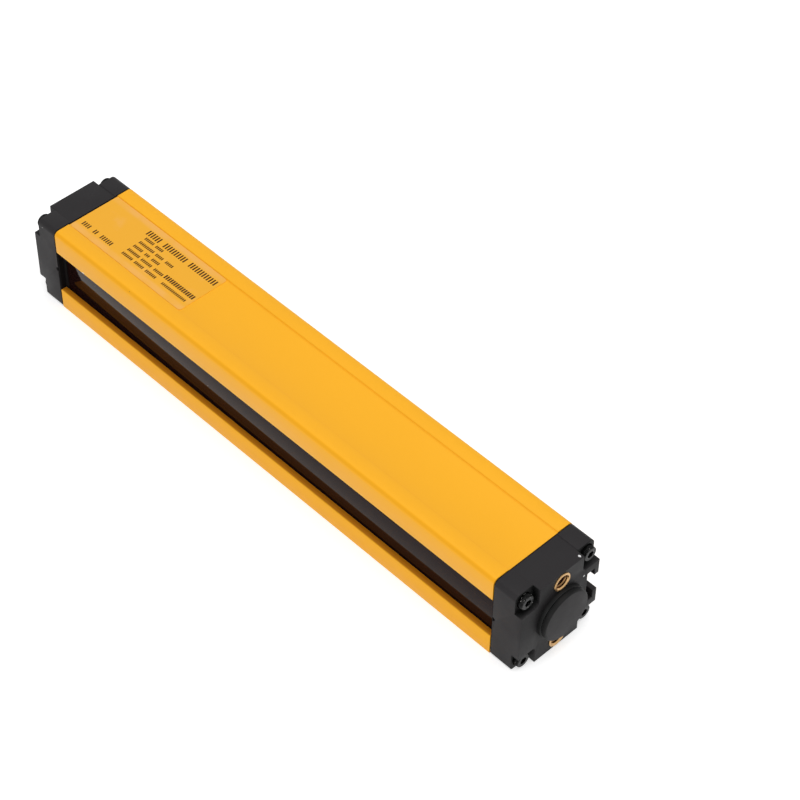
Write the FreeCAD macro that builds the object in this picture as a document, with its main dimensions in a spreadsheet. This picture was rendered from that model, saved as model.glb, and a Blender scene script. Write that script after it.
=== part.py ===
"""Safety light curtain bar, lying on its base with the optical window facing -Y.

One extruded housing carries a dark window on -Y, a T-slot on +Y and a moulded cap on each
end. Behind the window a row of lenses and diodes stands on the main board. X runs along the
bar, +X towards the blanked cap and -X towards the connector cap. The origin is on the base,
under the middle of the housing.
"""
import FreeCAD, Part
import os

import Sketcher
from FreeCAD import Placement, Rotation, Vector

PARTS_FOLDER = "parts"
SHEET_NAME = "Sizes"
CUT_MARGIN = 1.0
LENGTH_TOLERANCE = 1e-4
QUARTER_TURN = 90.0
HALF_TURN = 180.0
FULL_TURN = 360.0
HEXAGON_SIDES = 6

# Driving dimensions, millimetres.
SIZES = {
    # housing extrusion
    "housing_length": 220.0,
    "section_width": 36.0,
    "section_height": 36.8,
    "section_radius": 2.0,
    "section_base_radius": 0.4,
    "roof_wall": 2.0,
    "slot_wall": 2.4,
    "label_recess_width": 22.4,
    "label_recess_depth": 0.3,
    # screws that hold the caps, and the ports that take them
    "screw_inset": 3.7,
    "screw_radius": 1.5,
    "screw_length": 18.0,
    "screw_head_radius": 2.75,
    "screw_head_height": 3.0,
    "screw_socket_radius": 1.45,
    "screw_socket_depth": 1.5,
    "screw_clearance": 0.2,
    "screw_seat_clearance": 0.25,
    "screw_seat_depth": 1.0,
    # T-slot of the housing and the wider one of the caps
    "slot_throat": 6.8,
    "slot_undercut": 12.4,
    "slot_depth": 5.4,
    "slot_lip": 1.9,
    "cap_slot_throat": 8.0,
    "cap_slot_undercut": 14.6,
    # window
    "window_opening": 18.4,
    "window_drop": 0.45,
    "window_lip": 2.4,
    "window_seat": 1.6,
    "window_thickness": 2.0,
    "window_clearance": 0.1,
    "window_ledge": 2.8,
    "window_neck": 16.8,
    "window_gasket_thickness": 0.3,
    "window_gasket_inset": 0.4,
    "window_seal_length": 1.5,
    # gaskets between housing and caps
    "end_gasket_thickness": 0.5,
    "end_gasket_inset": 0.4,
    # moulded end caps
    "cap_radius": 2.2,
    "cap_base_radius": 1.2,
    "cap_flange": 9.1,
    "cap_block": 3.0,
    "cap_notch": 7.9,
    "cap_notch_radius": 1.8,
    "cap_recess_width": 20.6,
    "cap_recess_depth": 0.15,
    "cap_nick_radius": 1.0,
    "cap_nick_depth": 0.8,
    "cap_tab_length": 3.0,
    "cap_tab_height": 3.6,
    "cap_tab_clearance": 0.2,
    "collar_radius": 10.3,
    "collar_height": 1.6,
    "bore_radius": 8.0,
    "counterbore_radius": 9.6,
    "counterbore_depth": 5.2,
    # threaded inserts of the caps
    "insert_offset": 14.1,
    "insert_radius": 3.6,
    "insert_bore_radius": 2.1,
    "insert_mouth": 0.5,
    "insert_length": 8.0,
    "insert_proud": 0.4,
    "insert_relief": 1.0,
    # blanking plug
    "plug_head_radius": 9.9,
    "plug_head_height": 1.8,
    "plug_barb": 0.5,
    "plug_barb_length": 1.6,
    # connector
    "connector_flange_radius": 9.6,
    "connector_flange_height": 1.4,
    "connector_thread_radius": 7.9,
    "connector_reach": 6.8,
    "connector_socket_radius": 6.8,
    "connector_socket_depth": 6.2,
    "connector_tail": 1.0,
    "connector_nut_radius": 9.2,
    "connector_nut_height": 2.6,
    "connector_pin_radius": 0.75,
    "connector_pin_circle": 4.2,
    "connector_pin_reach": 4.6,
    "connector_pin_tail": 2.4,
    # optics and board
    "beam_count": 8.0,
    "beam_pitch": 20.0,
    "beam_end_offset": 20.0,
    "carrier_gap": 0.8,
    "carrier_depth": 10.0,
    "carrier_clearance": 0.2,
    "lens_radius": 6.0,
    "lens_edge": 1.4,
    "lens_bulge": 1.6,
    "lens_setback": 0.5,
    "diode_well_radius": 4.5,
    "diode_radius": 2.5,
    "diode_flange_radius": 2.9,
    "diode_flange_height": 1.0,
    "diode_body_height": 2.1,
    "board_thickness": 1.6,
    "board_groove_depth": 0.7,
    "board_clearance": 0.1,
    "board_end_gap": 6.0,
    "header_length": 12.0,
    "header_depth": 6.0,
    "header_height": 10.0,
    "header_end_gap": 4.0,
    "chip_side": 10.0,
    "chip_thickness": 1.4,
    "chip_spacing": 30.0,
    # label
    "label_length": 60.5,
    "label_width": 22.0,
    "label_thickness": 0.15,
    "label_end_gap": 0.2,
}

# Lengths that several pieces share, as expressions on the sheet.
HALF_LENGTH = "Sizes.housing_length / 2"
HALF_WIDTH = "Sizes.section_width / 2"
HALF_HEIGHT = "Sizes.section_height / 2"
CAP_LENGTH = "(Sizes.cap_flange + Sizes.cap_block)"
CAP_START = "(Sizes.housing_length / 2 + Sizes.end_gasket_thickness)"
SCREW_Y = "(Sizes.section_width / 2 - Sizes.screw_inset)"
SCREW_Z = "(Sizes.section_height / 2 - Sizes.screw_inset)"
SLOT_FLOOR = "(Sizes.section_width / 2 - Sizes.slot_depth)"
SLOT_LIP_BACK = "(Sizes.section_width / 2 - Sizes.slot_lip)"
WINDOW_LIP_BACK = "(-Sizes.section_width / 2 + Sizes.window_lip)"
WINDOW_FRONT = f"({WINDOW_LIP_BACK} + Sizes.window_gasket_thickness)"
WINDOW_BACK = f"({WINDOW_FRONT} + Sizes.window_thickness)"
WINDOW_SLOT = "(Sizes.window_opening / 2 + Sizes.window_seat)"
CAVITY_FRONT = f"({WINDOW_BACK} + Sizes.window_ledge)"
CAVITY_BACK = f"({SLOT_FLOOR} - Sizes.slot_wall)"
CAVITY_TOP = "(Sizes.section_height / 2 - Sizes.roof_wall)"
CARRIER_FRONT = f"({WINDOW_BACK} + Sizes.carrier_gap)"
BOARD_FRONT = f"({CARRIER_FRONT} + Sizes.carrier_depth)"
BOARD_BACK = f"({BOARD_FRONT} + Sizes.board_thickness)"
BOARD_EDGE = f"({CAVITY_TOP} + Sizes.board_groove_depth)"
BORE_LENGTH = f"({CAP_LENGTH} - Sizes.counterbore_depth + Sizes.collar_height)"
CORNERS = ((-1, -1), (1, -1), (1, 1), (-1, 1))

doc = FreeCAD.newDocument("LightCurtain")
nodes = {}


def make_sheet():
    """Write the driving dimensions into the document's spreadsheet, each with its alias."""
    sheet = doc.addObject("Spreadsheet::Sheet", SHEET_NAME)
    for row, (alias, size) in enumerate(SIZES.items(), start=1):
        sheet.set(f"A{row}", alias)
        sheet.set(f"B{row}", str(size))
        sheet.setAlias(f"B{row}", alias)
    doc.recompute()
    return sheet


def number(expression):
    """Give the present value of an expression on the sheet."""
    return float(sheet.evalExpression(expression.replace(f"{SHEET_NAME}.", "")))


def beam_places():
    """Give each beam's distance from the middle of the housing, as an expression."""
    first = "Sizes.housing_length / 2 - Sizes.beam_end_offset"
    return [f"({first} - {index} * Sizes.beam_pitch)" for index in range(round(number("Sizes.beam_count")))]


# ---------------------------------------------------------------- sketches and features


def add_body(name):
    """Start a PartDesign body that will be the sub-part of this name."""
    body = doc.addObject("PartDesign::Body", name)
    body.Label = name
    nodes[name] = body
    return body


def place(item, along="0", across="0", up="0", rotation=None):
    """Bind a sub-part's position to the sheet, and set its rotation.

    along, across and up are expressions for X, Y and Z.
    """
    item.Placement = Placement(Vector(number(along), number(across), number(up)), rotation or Rotation())
    item.setExpression("Placement.Base.x", along)
    item.setExpression("Placement.Base.y", across)
    item.setExpression("Placement.Base.z", up)
    return item


def add_sketch(body, name, role="YZ_Plane", offset="0"):
    """Attach a sketch to one of the body's origin planes, moved along its normal by offset."""
    sketch = body.newObject("Sketcher::SketchObject", name)
    plane = next(item for item in body.Origin.OriginFeatures if item.Role == role)
    sketch.AttachmentSupport = [(plane, "")]
    sketch.MapMode = "FlatFace"
    sketch.AttachmentOffset = Placement(Vector(0, 0, number(offset)), Rotation())
    sketch.setExpression("AttachmentOffset.Base.z", offset)
    return sketch


def bind(sketch, constraint, expression):
    """Add a dimension to a sketch and tie it to an expression."""
    index = sketch.addConstraint(constraint)
    sketch.setExpression(f"Constraints[{index}]", expression)


def add_polygon(sketch, corners):
    """Draw a closed outline through corners, each a pair of expressions."""
    points = [Vector(number(first), number(second), 0) for first, second in corners]
    lines = []
    for start, end in zip(points, points[1:] + points[:1]):
        lines.append(sketch.addGeometry(Part.LineSegment(start, end), False))
    for line, following in zip(lines, lines[1:] + lines[:1]):
        sketch.addConstraint(Sketcher.Constraint("Coincident", line, 2, following, 1))
    for line, point, (first, second) in zip(lines, points, corners):
        bind(sketch, Sketcher.Constraint("DistanceX", -1, 1, line, 1, point.x), first)
        bind(sketch, Sketcher.Constraint("DistanceY", -1, 1, line, 1, point.y), second)


def add_rectangle(sketch, left, right, bottom, top):
    """Draw a rectangle between four expressions."""
    add_polygon(sketch, [(left, bottom), (right, bottom), (right, top), (left, top)])


def add_circle(sketch, first, second, radius):
    """Draw a circle round a centre, all three given as expressions."""
    centre = Vector(number(first), number(second), 0)
    circle = sketch.addGeometry(Part.Circle(centre, Vector(0, 0, 1), number(radius)), False)
    bind(sketch, Sketcher.Constraint("DistanceX", -1, 1, circle, 3, centre.x), first)
    bind(sketch, Sketcher.Constraint("DistanceY", -1, 1, circle, 3, centre.y), second)
    bind(sketch, Sketcher.Constraint("Radius", circle, number(radius)), radius)


def add_pad(body, sketch, name, length, backwards=False):
    """Pad a sketch along its normal, or against it, and check that material was added."""
    before = body.Shape.Volume if body.Tip else 0.0
    pad = body.newObject("PartDesign::Pad", name)
    pad.Profile = sketch
    pad.Reversed = backwards
    pad.setExpression("Length", length)
    doc.recompute()
    if pad.Shape.Volume <= before:
        raise RuntimeError(f"{name} adds nothing")
    return pad


def add_pocket(body, sketch, name, length, along_normal=True):
    """Cut a sketch along its normal, or against it, and check that material was removed."""
    before = body.Shape.Volume
    pocket = body.newObject("PartDesign::Pocket", name)
    pocket.Profile = sketch
    pocket.Reversed = along_normal
    pocket.setExpression("Length", length)
    doc.recompute()
    if pocket.Shape.Volume >= before:
        raise RuntimeError(f"{name} cuts nothing")
    return pocket


def add_fillet(body, name, base, wanted, radius):
    """Round the edges of base that the function wanted picks."""
    picked = [f"Edge{index}" for index, edge in enumerate(base.Shape.Edges, start=1) if wanted(edge)]
    if not picked:
        raise RuntimeError(f"{name} finds no edge")
    fillet = body.newObject("PartDesign::Fillet", name)
    fillet.Base = (base, picked)
    fillet.Radius = number(radius)
    fillet.setExpression("Radius", radius)
    doc.recompute()
    return fillet


def runs_along_x(edge):
    """Say whether an edge is straight and parallel to X."""
    if not isinstance(edge.Curve, Part.Line):
        return False
    return abs(abs(edge.Curve.Direction.x) - 1.0) < LENGTH_TOLERANCE


def runs_along_x_on(level):
    """Make a test for the edges along X above the middle (level 1) or below it (level -1)."""
    return lambda edge: runs_along_x(edge) and level * edge.BoundBox.Center.z > 0


def add_box(name, length, width, height, base=("0", "0", "0")):
    """Make a Part box with its low corner at base; all sizes are expressions."""
    box = doc.addObject("Part::Box", name)
    for size, expression in zip(("Length", "Width", "Height"), (length, width, height)):
        setattr(box, size, number(expression))
        box.setExpression(size, expression)
    return place(box, *base)


def add_cylinder(name, radius, height, base=("0", "0", "0"), rotation=None):
    """Make a Part cylinder that stands on base; all sizes are expressions."""
    cylinder = doc.addObject("Part::Cylinder", name)
    cylinder.Radius = number(radius)
    cylinder.Height = number(height)
    cylinder.setExpression("Radius", radius)
    cylinder.setExpression("Height", height)
    return place(cylinder, *base, rotation)


def add_fuse(name, pieces):
    """Join several Part objects into one."""
    fuse = doc.addObject("Part::MultiFuse", name)
    fuse.Shapes = pieces
    fuse.Refine = True
    return fuse


def add_cut(name, base, tool):
    """Cut one Part object out of another."""
    cut = doc.addObject("Part::Cut", name)
    cut.Base = base
    cut.Tool = tool
    return cut


def register(name, item):
    """Make a Part object the sub-part of this name."""
    item.Label = name
    nodes[name] = item
    return item


def turn_to_x(side):
    """Rotation that takes +Z to +X (side 1) or to -X (side -1)."""
    return Rotation(Vector(0, 1, 0), side * QUARTER_TURN)


# ---------------------------------------------------------------- housing and its seals


def make_housing():
    """Extruded aluminium housing with the window channel, T-slot, cavity and screw ports."""
    body = add_body("housing")
    start = f"-{HALF_LENGTH}"
    outline = add_sketch(body, "HousingOutline", offset=start)
    add_rectangle(outline, f"-{HALF_WIDTH}", HALF_WIDTH, f"-{HALF_HEIGHT}", HALF_HEIGHT)
    bar = add_pad(body, outline, "HousingBar", "Sizes.housing_length")
    rounded = add_fillet(body, "HousingTopCorners", bar, runs_along_x_on(1), "Sizes.section_radius")
    add_fillet(body, "HousingBaseCorners", rounded, runs_along_x_on(-1), "Sizes.section_base_radius")

    opening_bottom = "-Sizes.window_opening / 2 - Sizes.window_drop"
    opening_top = "Sizes.window_opening / 2 - Sizes.window_drop"
    half_neck = "Sizes.window_neck / 2"
    half_recess = "Sizes.label_recess_width / 2"
    recess_floor = f"{HALF_HEIGHT} - Sizes.label_recess_depth"
    outside_front = f"-{HALF_WIDTH} - {CUT_MARGIN}"
    outside_back = f"{HALF_WIDTH} + {CUT_MARGIN}"
    outside_top = f"{HALF_HEIGHT} + {CUT_MARGIN}"
    groove_front = f"{BOARD_FRONT} - Sizes.board_clearance"
    groove_back = f"{BOARD_BACK} + Sizes.board_clearance"
    channels = {
        "Cavity": (CAVITY_FRONT, CAVITY_BACK, f"-{CAVITY_TOP}", CAVITY_TOP),
        "WindowNeck": (WINDOW_BACK, CAVITY_FRONT, f"-{half_neck}", half_neck),
        "WindowSlot": (WINDOW_LIP_BACK, WINDOW_BACK, f"-{WINDOW_SLOT}", WINDOW_SLOT),
        "WindowOpening": (outside_front, WINDOW_LIP_BACK, opening_bottom, opening_top),
        "SlotUndercut": (SLOT_FLOOR, SLOT_LIP_BACK, "-Sizes.slot_undercut / 2", "Sizes.slot_undercut / 2"),
        "SlotThroat": (SLOT_LIP_BACK, outside_back, "-Sizes.slot_throat / 2", "Sizes.slot_throat / 2"),
        "BoardGrooves": (groove_front, groove_back, f"-{BOARD_EDGE}", BOARD_EDGE),
        "LabelRecess": (f"-{half_recess}", half_recess, recess_floor, outside_top),
    }
    for name, limits in channels.items():
        sketch = add_sketch(body, f"{name}Sketch", offset=start)
        add_rectangle(sketch, *limits)
        add_pocket(body, sketch, name, "Sizes.housing_length")
    ports = add_sketch(body, "ScrewPortSketch", offset=start)
    for side, level in CORNERS:
        add_circle(ports, f"{side} * {SCREW_Y}", f"{level} * {SCREW_Z}", "Sizes.screw_radius")
    add_pocket(body, ports, "ScrewPorts", "Sizes.housing_length")
    place(body, up=HALF_HEIGHT)


def make_window():
    """Window pane with a gasket along each long edge and a seal at each end."""
    pane_length = "Sizes.housing_length - 2 * Sizes.window_seal_length"
    pane_height = f"2 * ({WINDOW_SLOT} - Sizes.window_clearance)"
    pane_low = f"{HALF_HEIGHT} - {WINDOW_SLOT} + Sizes.window_clearance"
    pane_start = f"-{HALF_LENGTH} + Sizes.window_seal_length"
    corner = (pane_start, WINDOW_FRONT, pane_low)
    pane_size = (pane_length, "Sizes.window_thickness", pane_height)
    register("front_window", add_box("WindowPane", *pane_size, corner))

    upper_height = "(Sizes.window_seat + Sizes.window_drop - Sizes.window_gasket_inset)"
    lower_height = "(Sizes.window_seat - Sizes.window_drop - Sizes.window_gasket_inset)"
    strips = {
        "upper": (f"{HALF_HEIGHT} + {WINDOW_SLOT} - {upper_height}", upper_height),
        "lower": (f"{HALF_HEIGHT} - {WINDOW_SLOT}", lower_height),
    }
    for level, (low, strip_height) in strips.items():
        corner = (pane_start, WINDOW_LIP_BACK, low)
        size = (pane_length, "Sizes.window_gasket_thickness", strip_height)
        register(f"window_gasket_{level}", add_box(f"WindowGasket{level.title()}", *size, corner))

    seal_depth = "Sizes.window_gasket_thickness + Sizes.window_thickness"
    starts = {
        "blank": f"{HALF_LENGTH} - Sizes.window_seal_length",
        "connector": f"-{HALF_LENGTH}",
    }
    for end, start in starts.items():
        corner = (start, WINDOW_LIP_BACK, f"{HALF_HEIGHT} - {WINDOW_SLOT}")
        size = ("Sizes.window_seal_length", seal_depth, f"2 * {WINDOW_SLOT}")
        register(f"window_end_seal_{end}", add_box(f"WindowEndSeal{end.title()}", *size, corner))


def make_end_gasket(end, side):
    """Rubber sheet between the housing and a cap, open for the cavity, T-slot and screws."""
    name = f"end_gasket_{end}"
    body = add_body(name)
    width = f"{HALF_WIDTH} - Sizes.end_gasket_inset"
    height = f"{HALF_HEIGHT} - Sizes.end_gasket_inset"
    outline = add_sketch(body, f"{name}_outline")
    add_rectangle(outline, f"-({width})", width, f"-({height})", height)
    sheet_pad = add_pad(body, outline, f"{name}_sheet", "Sizes.end_gasket_thickness")
    add_fillet(body, f"{name}_corners", sheet_pad, runs_along_x, "Sizes.cap_radius")
    half_slot = "Sizes.cap_slot_undercut / 2"
    openings = {
        "cavity": (CAVITY_FRONT, CAVITY_BACK, f"-{CAVITY_TOP}", CAVITY_TOP),
        "slot": (SLOT_FLOOR, f"{HALF_WIDTH} + {CUT_MARGIN}", f"-{half_slot}", half_slot),
    }
    for opening, limits in openings.items():
        sketch = add_sketch(body, f"{name}_{opening}_sketch")
        add_rectangle(sketch, *limits)
        add_pocket(body, sketch, f"{name}_{opening}", "Sizes.end_gasket_thickness")
    holes = add_sketch(body, f"{name}_hole_sketch")
    for across, level in CORNERS:
        radius = "Sizes.screw_radius + Sizes.screw_clearance"
        add_circle(holes, f"{across} * {SCREW_Y}", f"{level} * {SCREW_Z}", radius)
    add_pocket(body, holes, f"{name}_holes", "Sizes.end_gasket_thickness")
    place(body, f"{side} * {HALF_LENGTH}", "0", HALF_HEIGHT, cap_rotation(side))


def make_label():
    """Thin label film in the recess of the top face, next to the connector cap."""
    corner = (
        f"-{HALF_LENGTH} + Sizes.label_end_gap",
        "-Sizes.label_width / 2",
        "Sizes.section_height - Sizes.label_recess_depth",
    )
    size = ("Sizes.label_length", "Sizes.label_width", "Sizes.label_thickness")
    register("label_film", add_box("LabelFilm", *size, corner))


# ---------------------------------------------------------------- caps and what is in them


def cap_rotation(side):
    """Rotation of the same moulding for the +X end (side 1) or the -X end (side -1)."""
    return Rotation() if side > 0 else Rotation(Vector(0, 1, 0), HALF_TURN)


def make_cap(end, side):
    """Moulded end cap; its own X runs outwards from the face against the gasket."""
    name = f"{end}_end_cap"
    body = add_body(name)
    outline = add_sketch(body, f"{name}_outline")
    add_rectangle(outline, f"-{HALF_WIDTH}", HALF_WIDTH, f"-{HALF_HEIGHT}", HALF_HEIGHT)
    block = add_pad(body, outline, f"{name}_block", CAP_LENGTH)
    rounded = add_fillet(body, f"{name}_corners", block, runs_along_x_on(side), "Sizes.cap_radius")
    add_fillet(body, f"{name}_base_corners", rounded, runs_along_x_on(-side), "Sizes.cap_base_radius")
    cut_cap_notches(body, name)
    cut_cap_channels(body, name)
    add_cap_collar(body, name)
    cut_cap_holes(body, name)
    add_cap_tabs(body, name)
    cut_cap_nick(body, name)
    place(body, f"{side} * {CAP_START}", "0", HALF_HEIGHT, cap_rotation(side))


def cut_cap_notches(body, name):
    """Cut the four open corners that take the screw heads, with a rounded inner corner."""
    wall_y = f"{HALF_WIDTH} - Sizes.cap_notch"
    wall_z = f"{HALF_HEIGHT} - Sizes.cap_notch"
    sketch = add_sketch(body, f"{name}_notch_sketch", offset=CAP_LENGTH)
    for across, level in CORNERS:
        inner = (f"{across} * ({wall_y})", f"{level} * ({wall_z})")
        outer = (f"{across} * ({HALF_WIDTH} + {CUT_MARGIN})", f"{level} * ({HALF_HEIGHT} + {CUT_MARGIN})")
        add_polygon(sketch, [inner, (outer[0], inner[1]), outer, (inner[0], outer[1])])
    notches = add_pocket(body, sketch, f"{name}_notches", "Sizes.cap_block", along_normal=False)

    def is_inner_corner(edge):
        middle = edge.BoundBox.Center
        near_y = abs(abs(middle.y) - number(wall_y)) < LENGTH_TOLERANCE
        near_z = abs(abs(middle.z) - number(wall_z)) < LENGTH_TOLERANCE
        return runs_along_x(edge) and near_y and near_z

    add_fillet(body, f"{name}_notch_corners", notches, is_inner_corner, "Sizes.cap_notch_radius")


def cut_cap_channels(body, name):
    """Cut the T-slot through the cap and the shallow band along its top and underside."""
    outside = f"{HALF_WIDTH} + {CUT_MARGIN}"
    half_recess = "Sizes.cap_recess_width / 2"
    recess_floor = f"{HALF_HEIGHT} - Sizes.cap_recess_depth"
    recess_roof = f"{HALF_HEIGHT} + {CUT_MARGIN}"
    half_undercut = "Sizes.cap_slot_undercut / 2"
    half_throat = "Sizes.cap_slot_throat / 2"
    channels = {
        "slot_undercut": (SLOT_FLOOR, SLOT_LIP_BACK, f"-{half_undercut}", half_undercut),
        "slot_throat": (SLOT_LIP_BACK, outside, f"-{half_throat}", half_throat),
        "top_band": (f"-{half_recess}", half_recess, recess_floor, recess_roof),
        "base_band": (f"-{half_recess}", half_recess, f"-({recess_roof})", f"-({recess_floor})"),
    }
    for channel, limits in channels.items():
        sketch = add_sketch(body, f"{name}_{channel}_sketch")
        add_rectangle(sketch, *limits)
        add_pocket(body, sketch, f"{name}_{channel}", CAP_LENGTH)


def add_cap_collar(body, name):
    """Raise the round collar that the plug or the connector sits on."""
    sketch = add_sketch(body, f"{name}_collar_sketch", offset=CAP_LENGTH)
    add_circle(sketch, "0", "0", "Sizes.collar_radius")
    add_pad(body, sketch, f"{name}_collar", "Sizes.collar_height")


def cut_cap_holes(body, name):
    """Cut the middle bore with its counterbore, the screw holes with their seats and the insert pockets."""
    through = f"{CAP_LENGTH} + Sizes.collar_height"
    bore = add_sketch(body, f"{name}_bore_sketch")
    add_circle(bore, "0", "0", "Sizes.bore_radius")
    add_pocket(body, bore, f"{name}_bore", through)
    counterbore = add_sketch(body, f"{name}_counterbore_sketch")
    add_circle(counterbore, "0", "0", "Sizes.counterbore_radius")
    add_pocket(body, counterbore, f"{name}_counterbore", "Sizes.counterbore_depth")
    screws = add_sketch(body, f"{name}_screw_sketch")
    for across, level in CORNERS:
        radius = "Sizes.screw_radius + Sizes.screw_clearance"
        add_circle(screws, f"{across} * {SCREW_Y}", f"{level} * {SCREW_Z}", radius)
    add_pocket(body, screws, f"{name}_screw_holes", "Sizes.cap_flange")
    seats = add_sketch(body, f"{name}_seat_sketch", offset="Sizes.cap_flange")
    for across, level in CORNERS:
        radius = "Sizes.screw_head_radius + Sizes.screw_seat_clearance"
        add_circle(seats, f"{across} * {SCREW_Y}", f"{level} * {SCREW_Z}", radius)
    add_pocket(body, seats, f"{name}_screw_seats", "Sizes.screw_seat_depth", along_normal=False)
    inserts = add_sketch(body, f"{name}_insert_sketch", offset=CAP_LENGTH)
    for level in (-1, 1):
        add_circle(inserts, "0", f"{level} * Sizes.insert_offset", "Sizes.insert_radius")
    depth = "Sizes.insert_length + Sizes.insert_relief"
    add_pocket(body, inserts, f"{name}_insert_pockets", depth, along_normal=False)


def add_cap_tabs(body, name):
    """Add the two tabs that reach through the gasket into the housing cavity."""
    gap = "Sizes.cap_tab_clearance"
    top = f"({CAVITY_TOP} - {gap})"
    length = "Sizes.cap_tab_length + Sizes.end_gasket_thickness"
    sketch = add_sketch(body, f"{name}_tab_sketch")
    for level in (-1, 1):
        near = f"{level} * ({top} - Sizes.cap_tab_height)"
        far = f"{level} * {top}"
        add_rectangle(sketch, f"{CAVITY_FRONT} + {gap}", f"{CAVITY_BACK} - {gap}", near, far)
    add_pad(body, sketch, f"{name}_tabs", length, backwards=True)


def cut_cap_nick(body, name):
    """Cut the small half-round nick in the window side, at the edge against the housing."""
    sketch = add_sketch(body, f"{name}_nick_sketch", role="XZ_Plane", offset=HALF_WIDTH)
    add_circle(sketch, "0", "0", "Sizes.cap_nick_radius")
    add_pocket(body, sketch, f"{name}_nick", "Sizes.cap_nick_depth", along_normal=False)


def make_screw(end, side, index, across, level):
    """Socket head cap screw; it is built along +Z from under the head and turned to the cap."""
    name = f"cap_screw_{end}_{index}"
    head = add_cylinder(f"{name}_head", "Sizes.screw_head_radius", "Sizes.screw_head_height")
    shank_base = ("0", "0", "-Sizes.screw_length")
    shank = add_cylinder(f"{name}_shank", "Sizes.screw_radius", "Sizes.screw_length", shank_base)
    socket = doc.addObject("Part::Prism", f"{name}_socket")
    socket.Polygon = HEXAGON_SIDES
    socket.setExpression("Circumradius", "Sizes.screw_socket_radius")
    socket.setExpression("Height", "Sizes.screw_socket_depth")
    place(socket, up="Sizes.screw_head_height - Sizes.screw_socket_depth")
    screw = register(name, add_cut(f"{name}_cut", add_fuse(f"{name}_blank", [head, shank]), socket))
    seat = f"{side} * ({CAP_START} + Sizes.cap_flange - Sizes.screw_seat_depth)"
    place(screw, seat, f"{across} * {SCREW_Y}", f"{HALF_HEIGHT} + {level} * {SCREW_Z}", turn_to_x(side))


def make_insert(end, side, level_name, level):
    """Brass threaded insert, a little proud of the cap's end face, with a chamfered mouth."""
    name = f"insert_{end}_{level_name}"
    sleeve = add_cylinder(f"{name}_sleeve", "Sizes.insert_radius", "Sizes.insert_length")
    bore = add_cylinder(f"{name}_bore", "Sizes.insert_bore_radius", "Sizes.insert_length")
    mouth = doc.addObject("Part::Cone", f"{name}_mouth")
    mouth.setExpression("Radius1", "Sizes.insert_bore_radius")
    mouth.setExpression("Radius2", "Sizes.insert_bore_radius + Sizes.insert_mouth")
    mouth.setExpression("Height", "Sizes.insert_mouth")
    place(mouth, up="Sizes.insert_length - Sizes.insert_mouth")
    hollow = add_fuse(f"{name}_hollow", [bore, mouth])
    insert = register(name, add_cut(f"{name}_cut", sleeve, hollow))
    foot = f"{side} * ({CAP_START} + {CAP_LENGTH} + Sizes.insert_proud - Sizes.insert_length)"
    height = f"{HALF_HEIGHT} + {level} * Sizes.insert_offset"
    place(insert, foot, "0", height, turn_to_x(side))


def add_revolved_body(name, profile):
    """Revolve a closed outline of (radius, height) expressions round the body's Z axis."""
    body = add_body(name)
    sketch = add_sketch(body, f"{name}_profile", role="XZ_Plane")
    add_polygon(sketch, profile)
    turned = body.newObject("PartDesign::Revolution", f"{name}_turned")
    turned.Profile = sketch
    turned.ReferenceAxis = (sketch, ["V_Axis"])
    turned.Angle = FULL_TURN
    doc.recompute()
    return body


def make_blanking_plug():
    """Round plug that closes the blank cap: flat head on the collar, barbed shank behind."""
    shank_end = f"-{BORE_LENGTH}"
    barb_radius = "Sizes.bore_radius + Sizes.plug_barb"
    barb_end = f"-({BORE_LENGTH} + Sizes.plug_barb_length)"
    profile = [
        ("0", barb_end),
        ("Sizes.bore_radius", barb_end),
        (barb_radius, shank_end),
        ("Sizes.bore_radius", shank_end),
        ("Sizes.bore_radius", "0"),
        ("Sizes.plug_head_radius", "0"),
        ("Sizes.plug_head_radius", "Sizes.plug_head_height"),
        ("0", "Sizes.plug_head_height"),
    ]
    body = add_revolved_body("blanking_plug", profile)
    seat = f"{CAP_START} + {CAP_LENGTH} + Sizes.collar_height"
    place(body, seat, "0", HALF_HEIGHT, turn_to_x(1))


def make_connector():
    """Round panel connector of the other cap: shell, nut, insulator and pins."""
    seat = f"-({CAP_START} + {CAP_LENGTH} + Sizes.collar_height)"
    tail = f"-({BORE_LENGTH} + Sizes.connector_nut_height + Sizes.connector_tail)"
    shell_profile = [
        ("Sizes.connector_socket_radius", tail),
        ("Sizes.connector_thread_radius", tail),
        ("Sizes.connector_thread_radius", "0"),
        ("Sizes.connector_flange_radius", "0"),
        ("Sizes.connector_flange_radius", "Sizes.connector_flange_height"),
        ("Sizes.connector_thread_radius", "Sizes.connector_flange_height"),
        ("Sizes.connector_thread_radius", "Sizes.connector_reach"),
        ("Sizes.connector_socket_radius", "Sizes.connector_reach"),
    ]
    place(add_revolved_body("connector_shell", shell_profile), seat, "0", HALF_HEIGHT, turn_to_x(-1))

    nut_back = f"-({BORE_LENGTH} + Sizes.connector_nut_height)"
    nut_profile = [
        ("Sizes.connector_thread_radius", nut_back),
        ("Sizes.connector_nut_radius", nut_back),
        ("Sizes.connector_nut_radius", f"-{BORE_LENGTH}"),
        ("Sizes.connector_thread_radius", f"-{BORE_LENGTH}"),
    ]
    place(add_revolved_body("connector_nut", nut_profile), seat, "0", HALF_HEIGHT, turn_to_x(-1))
    make_connector_inside(seat, tail)


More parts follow.
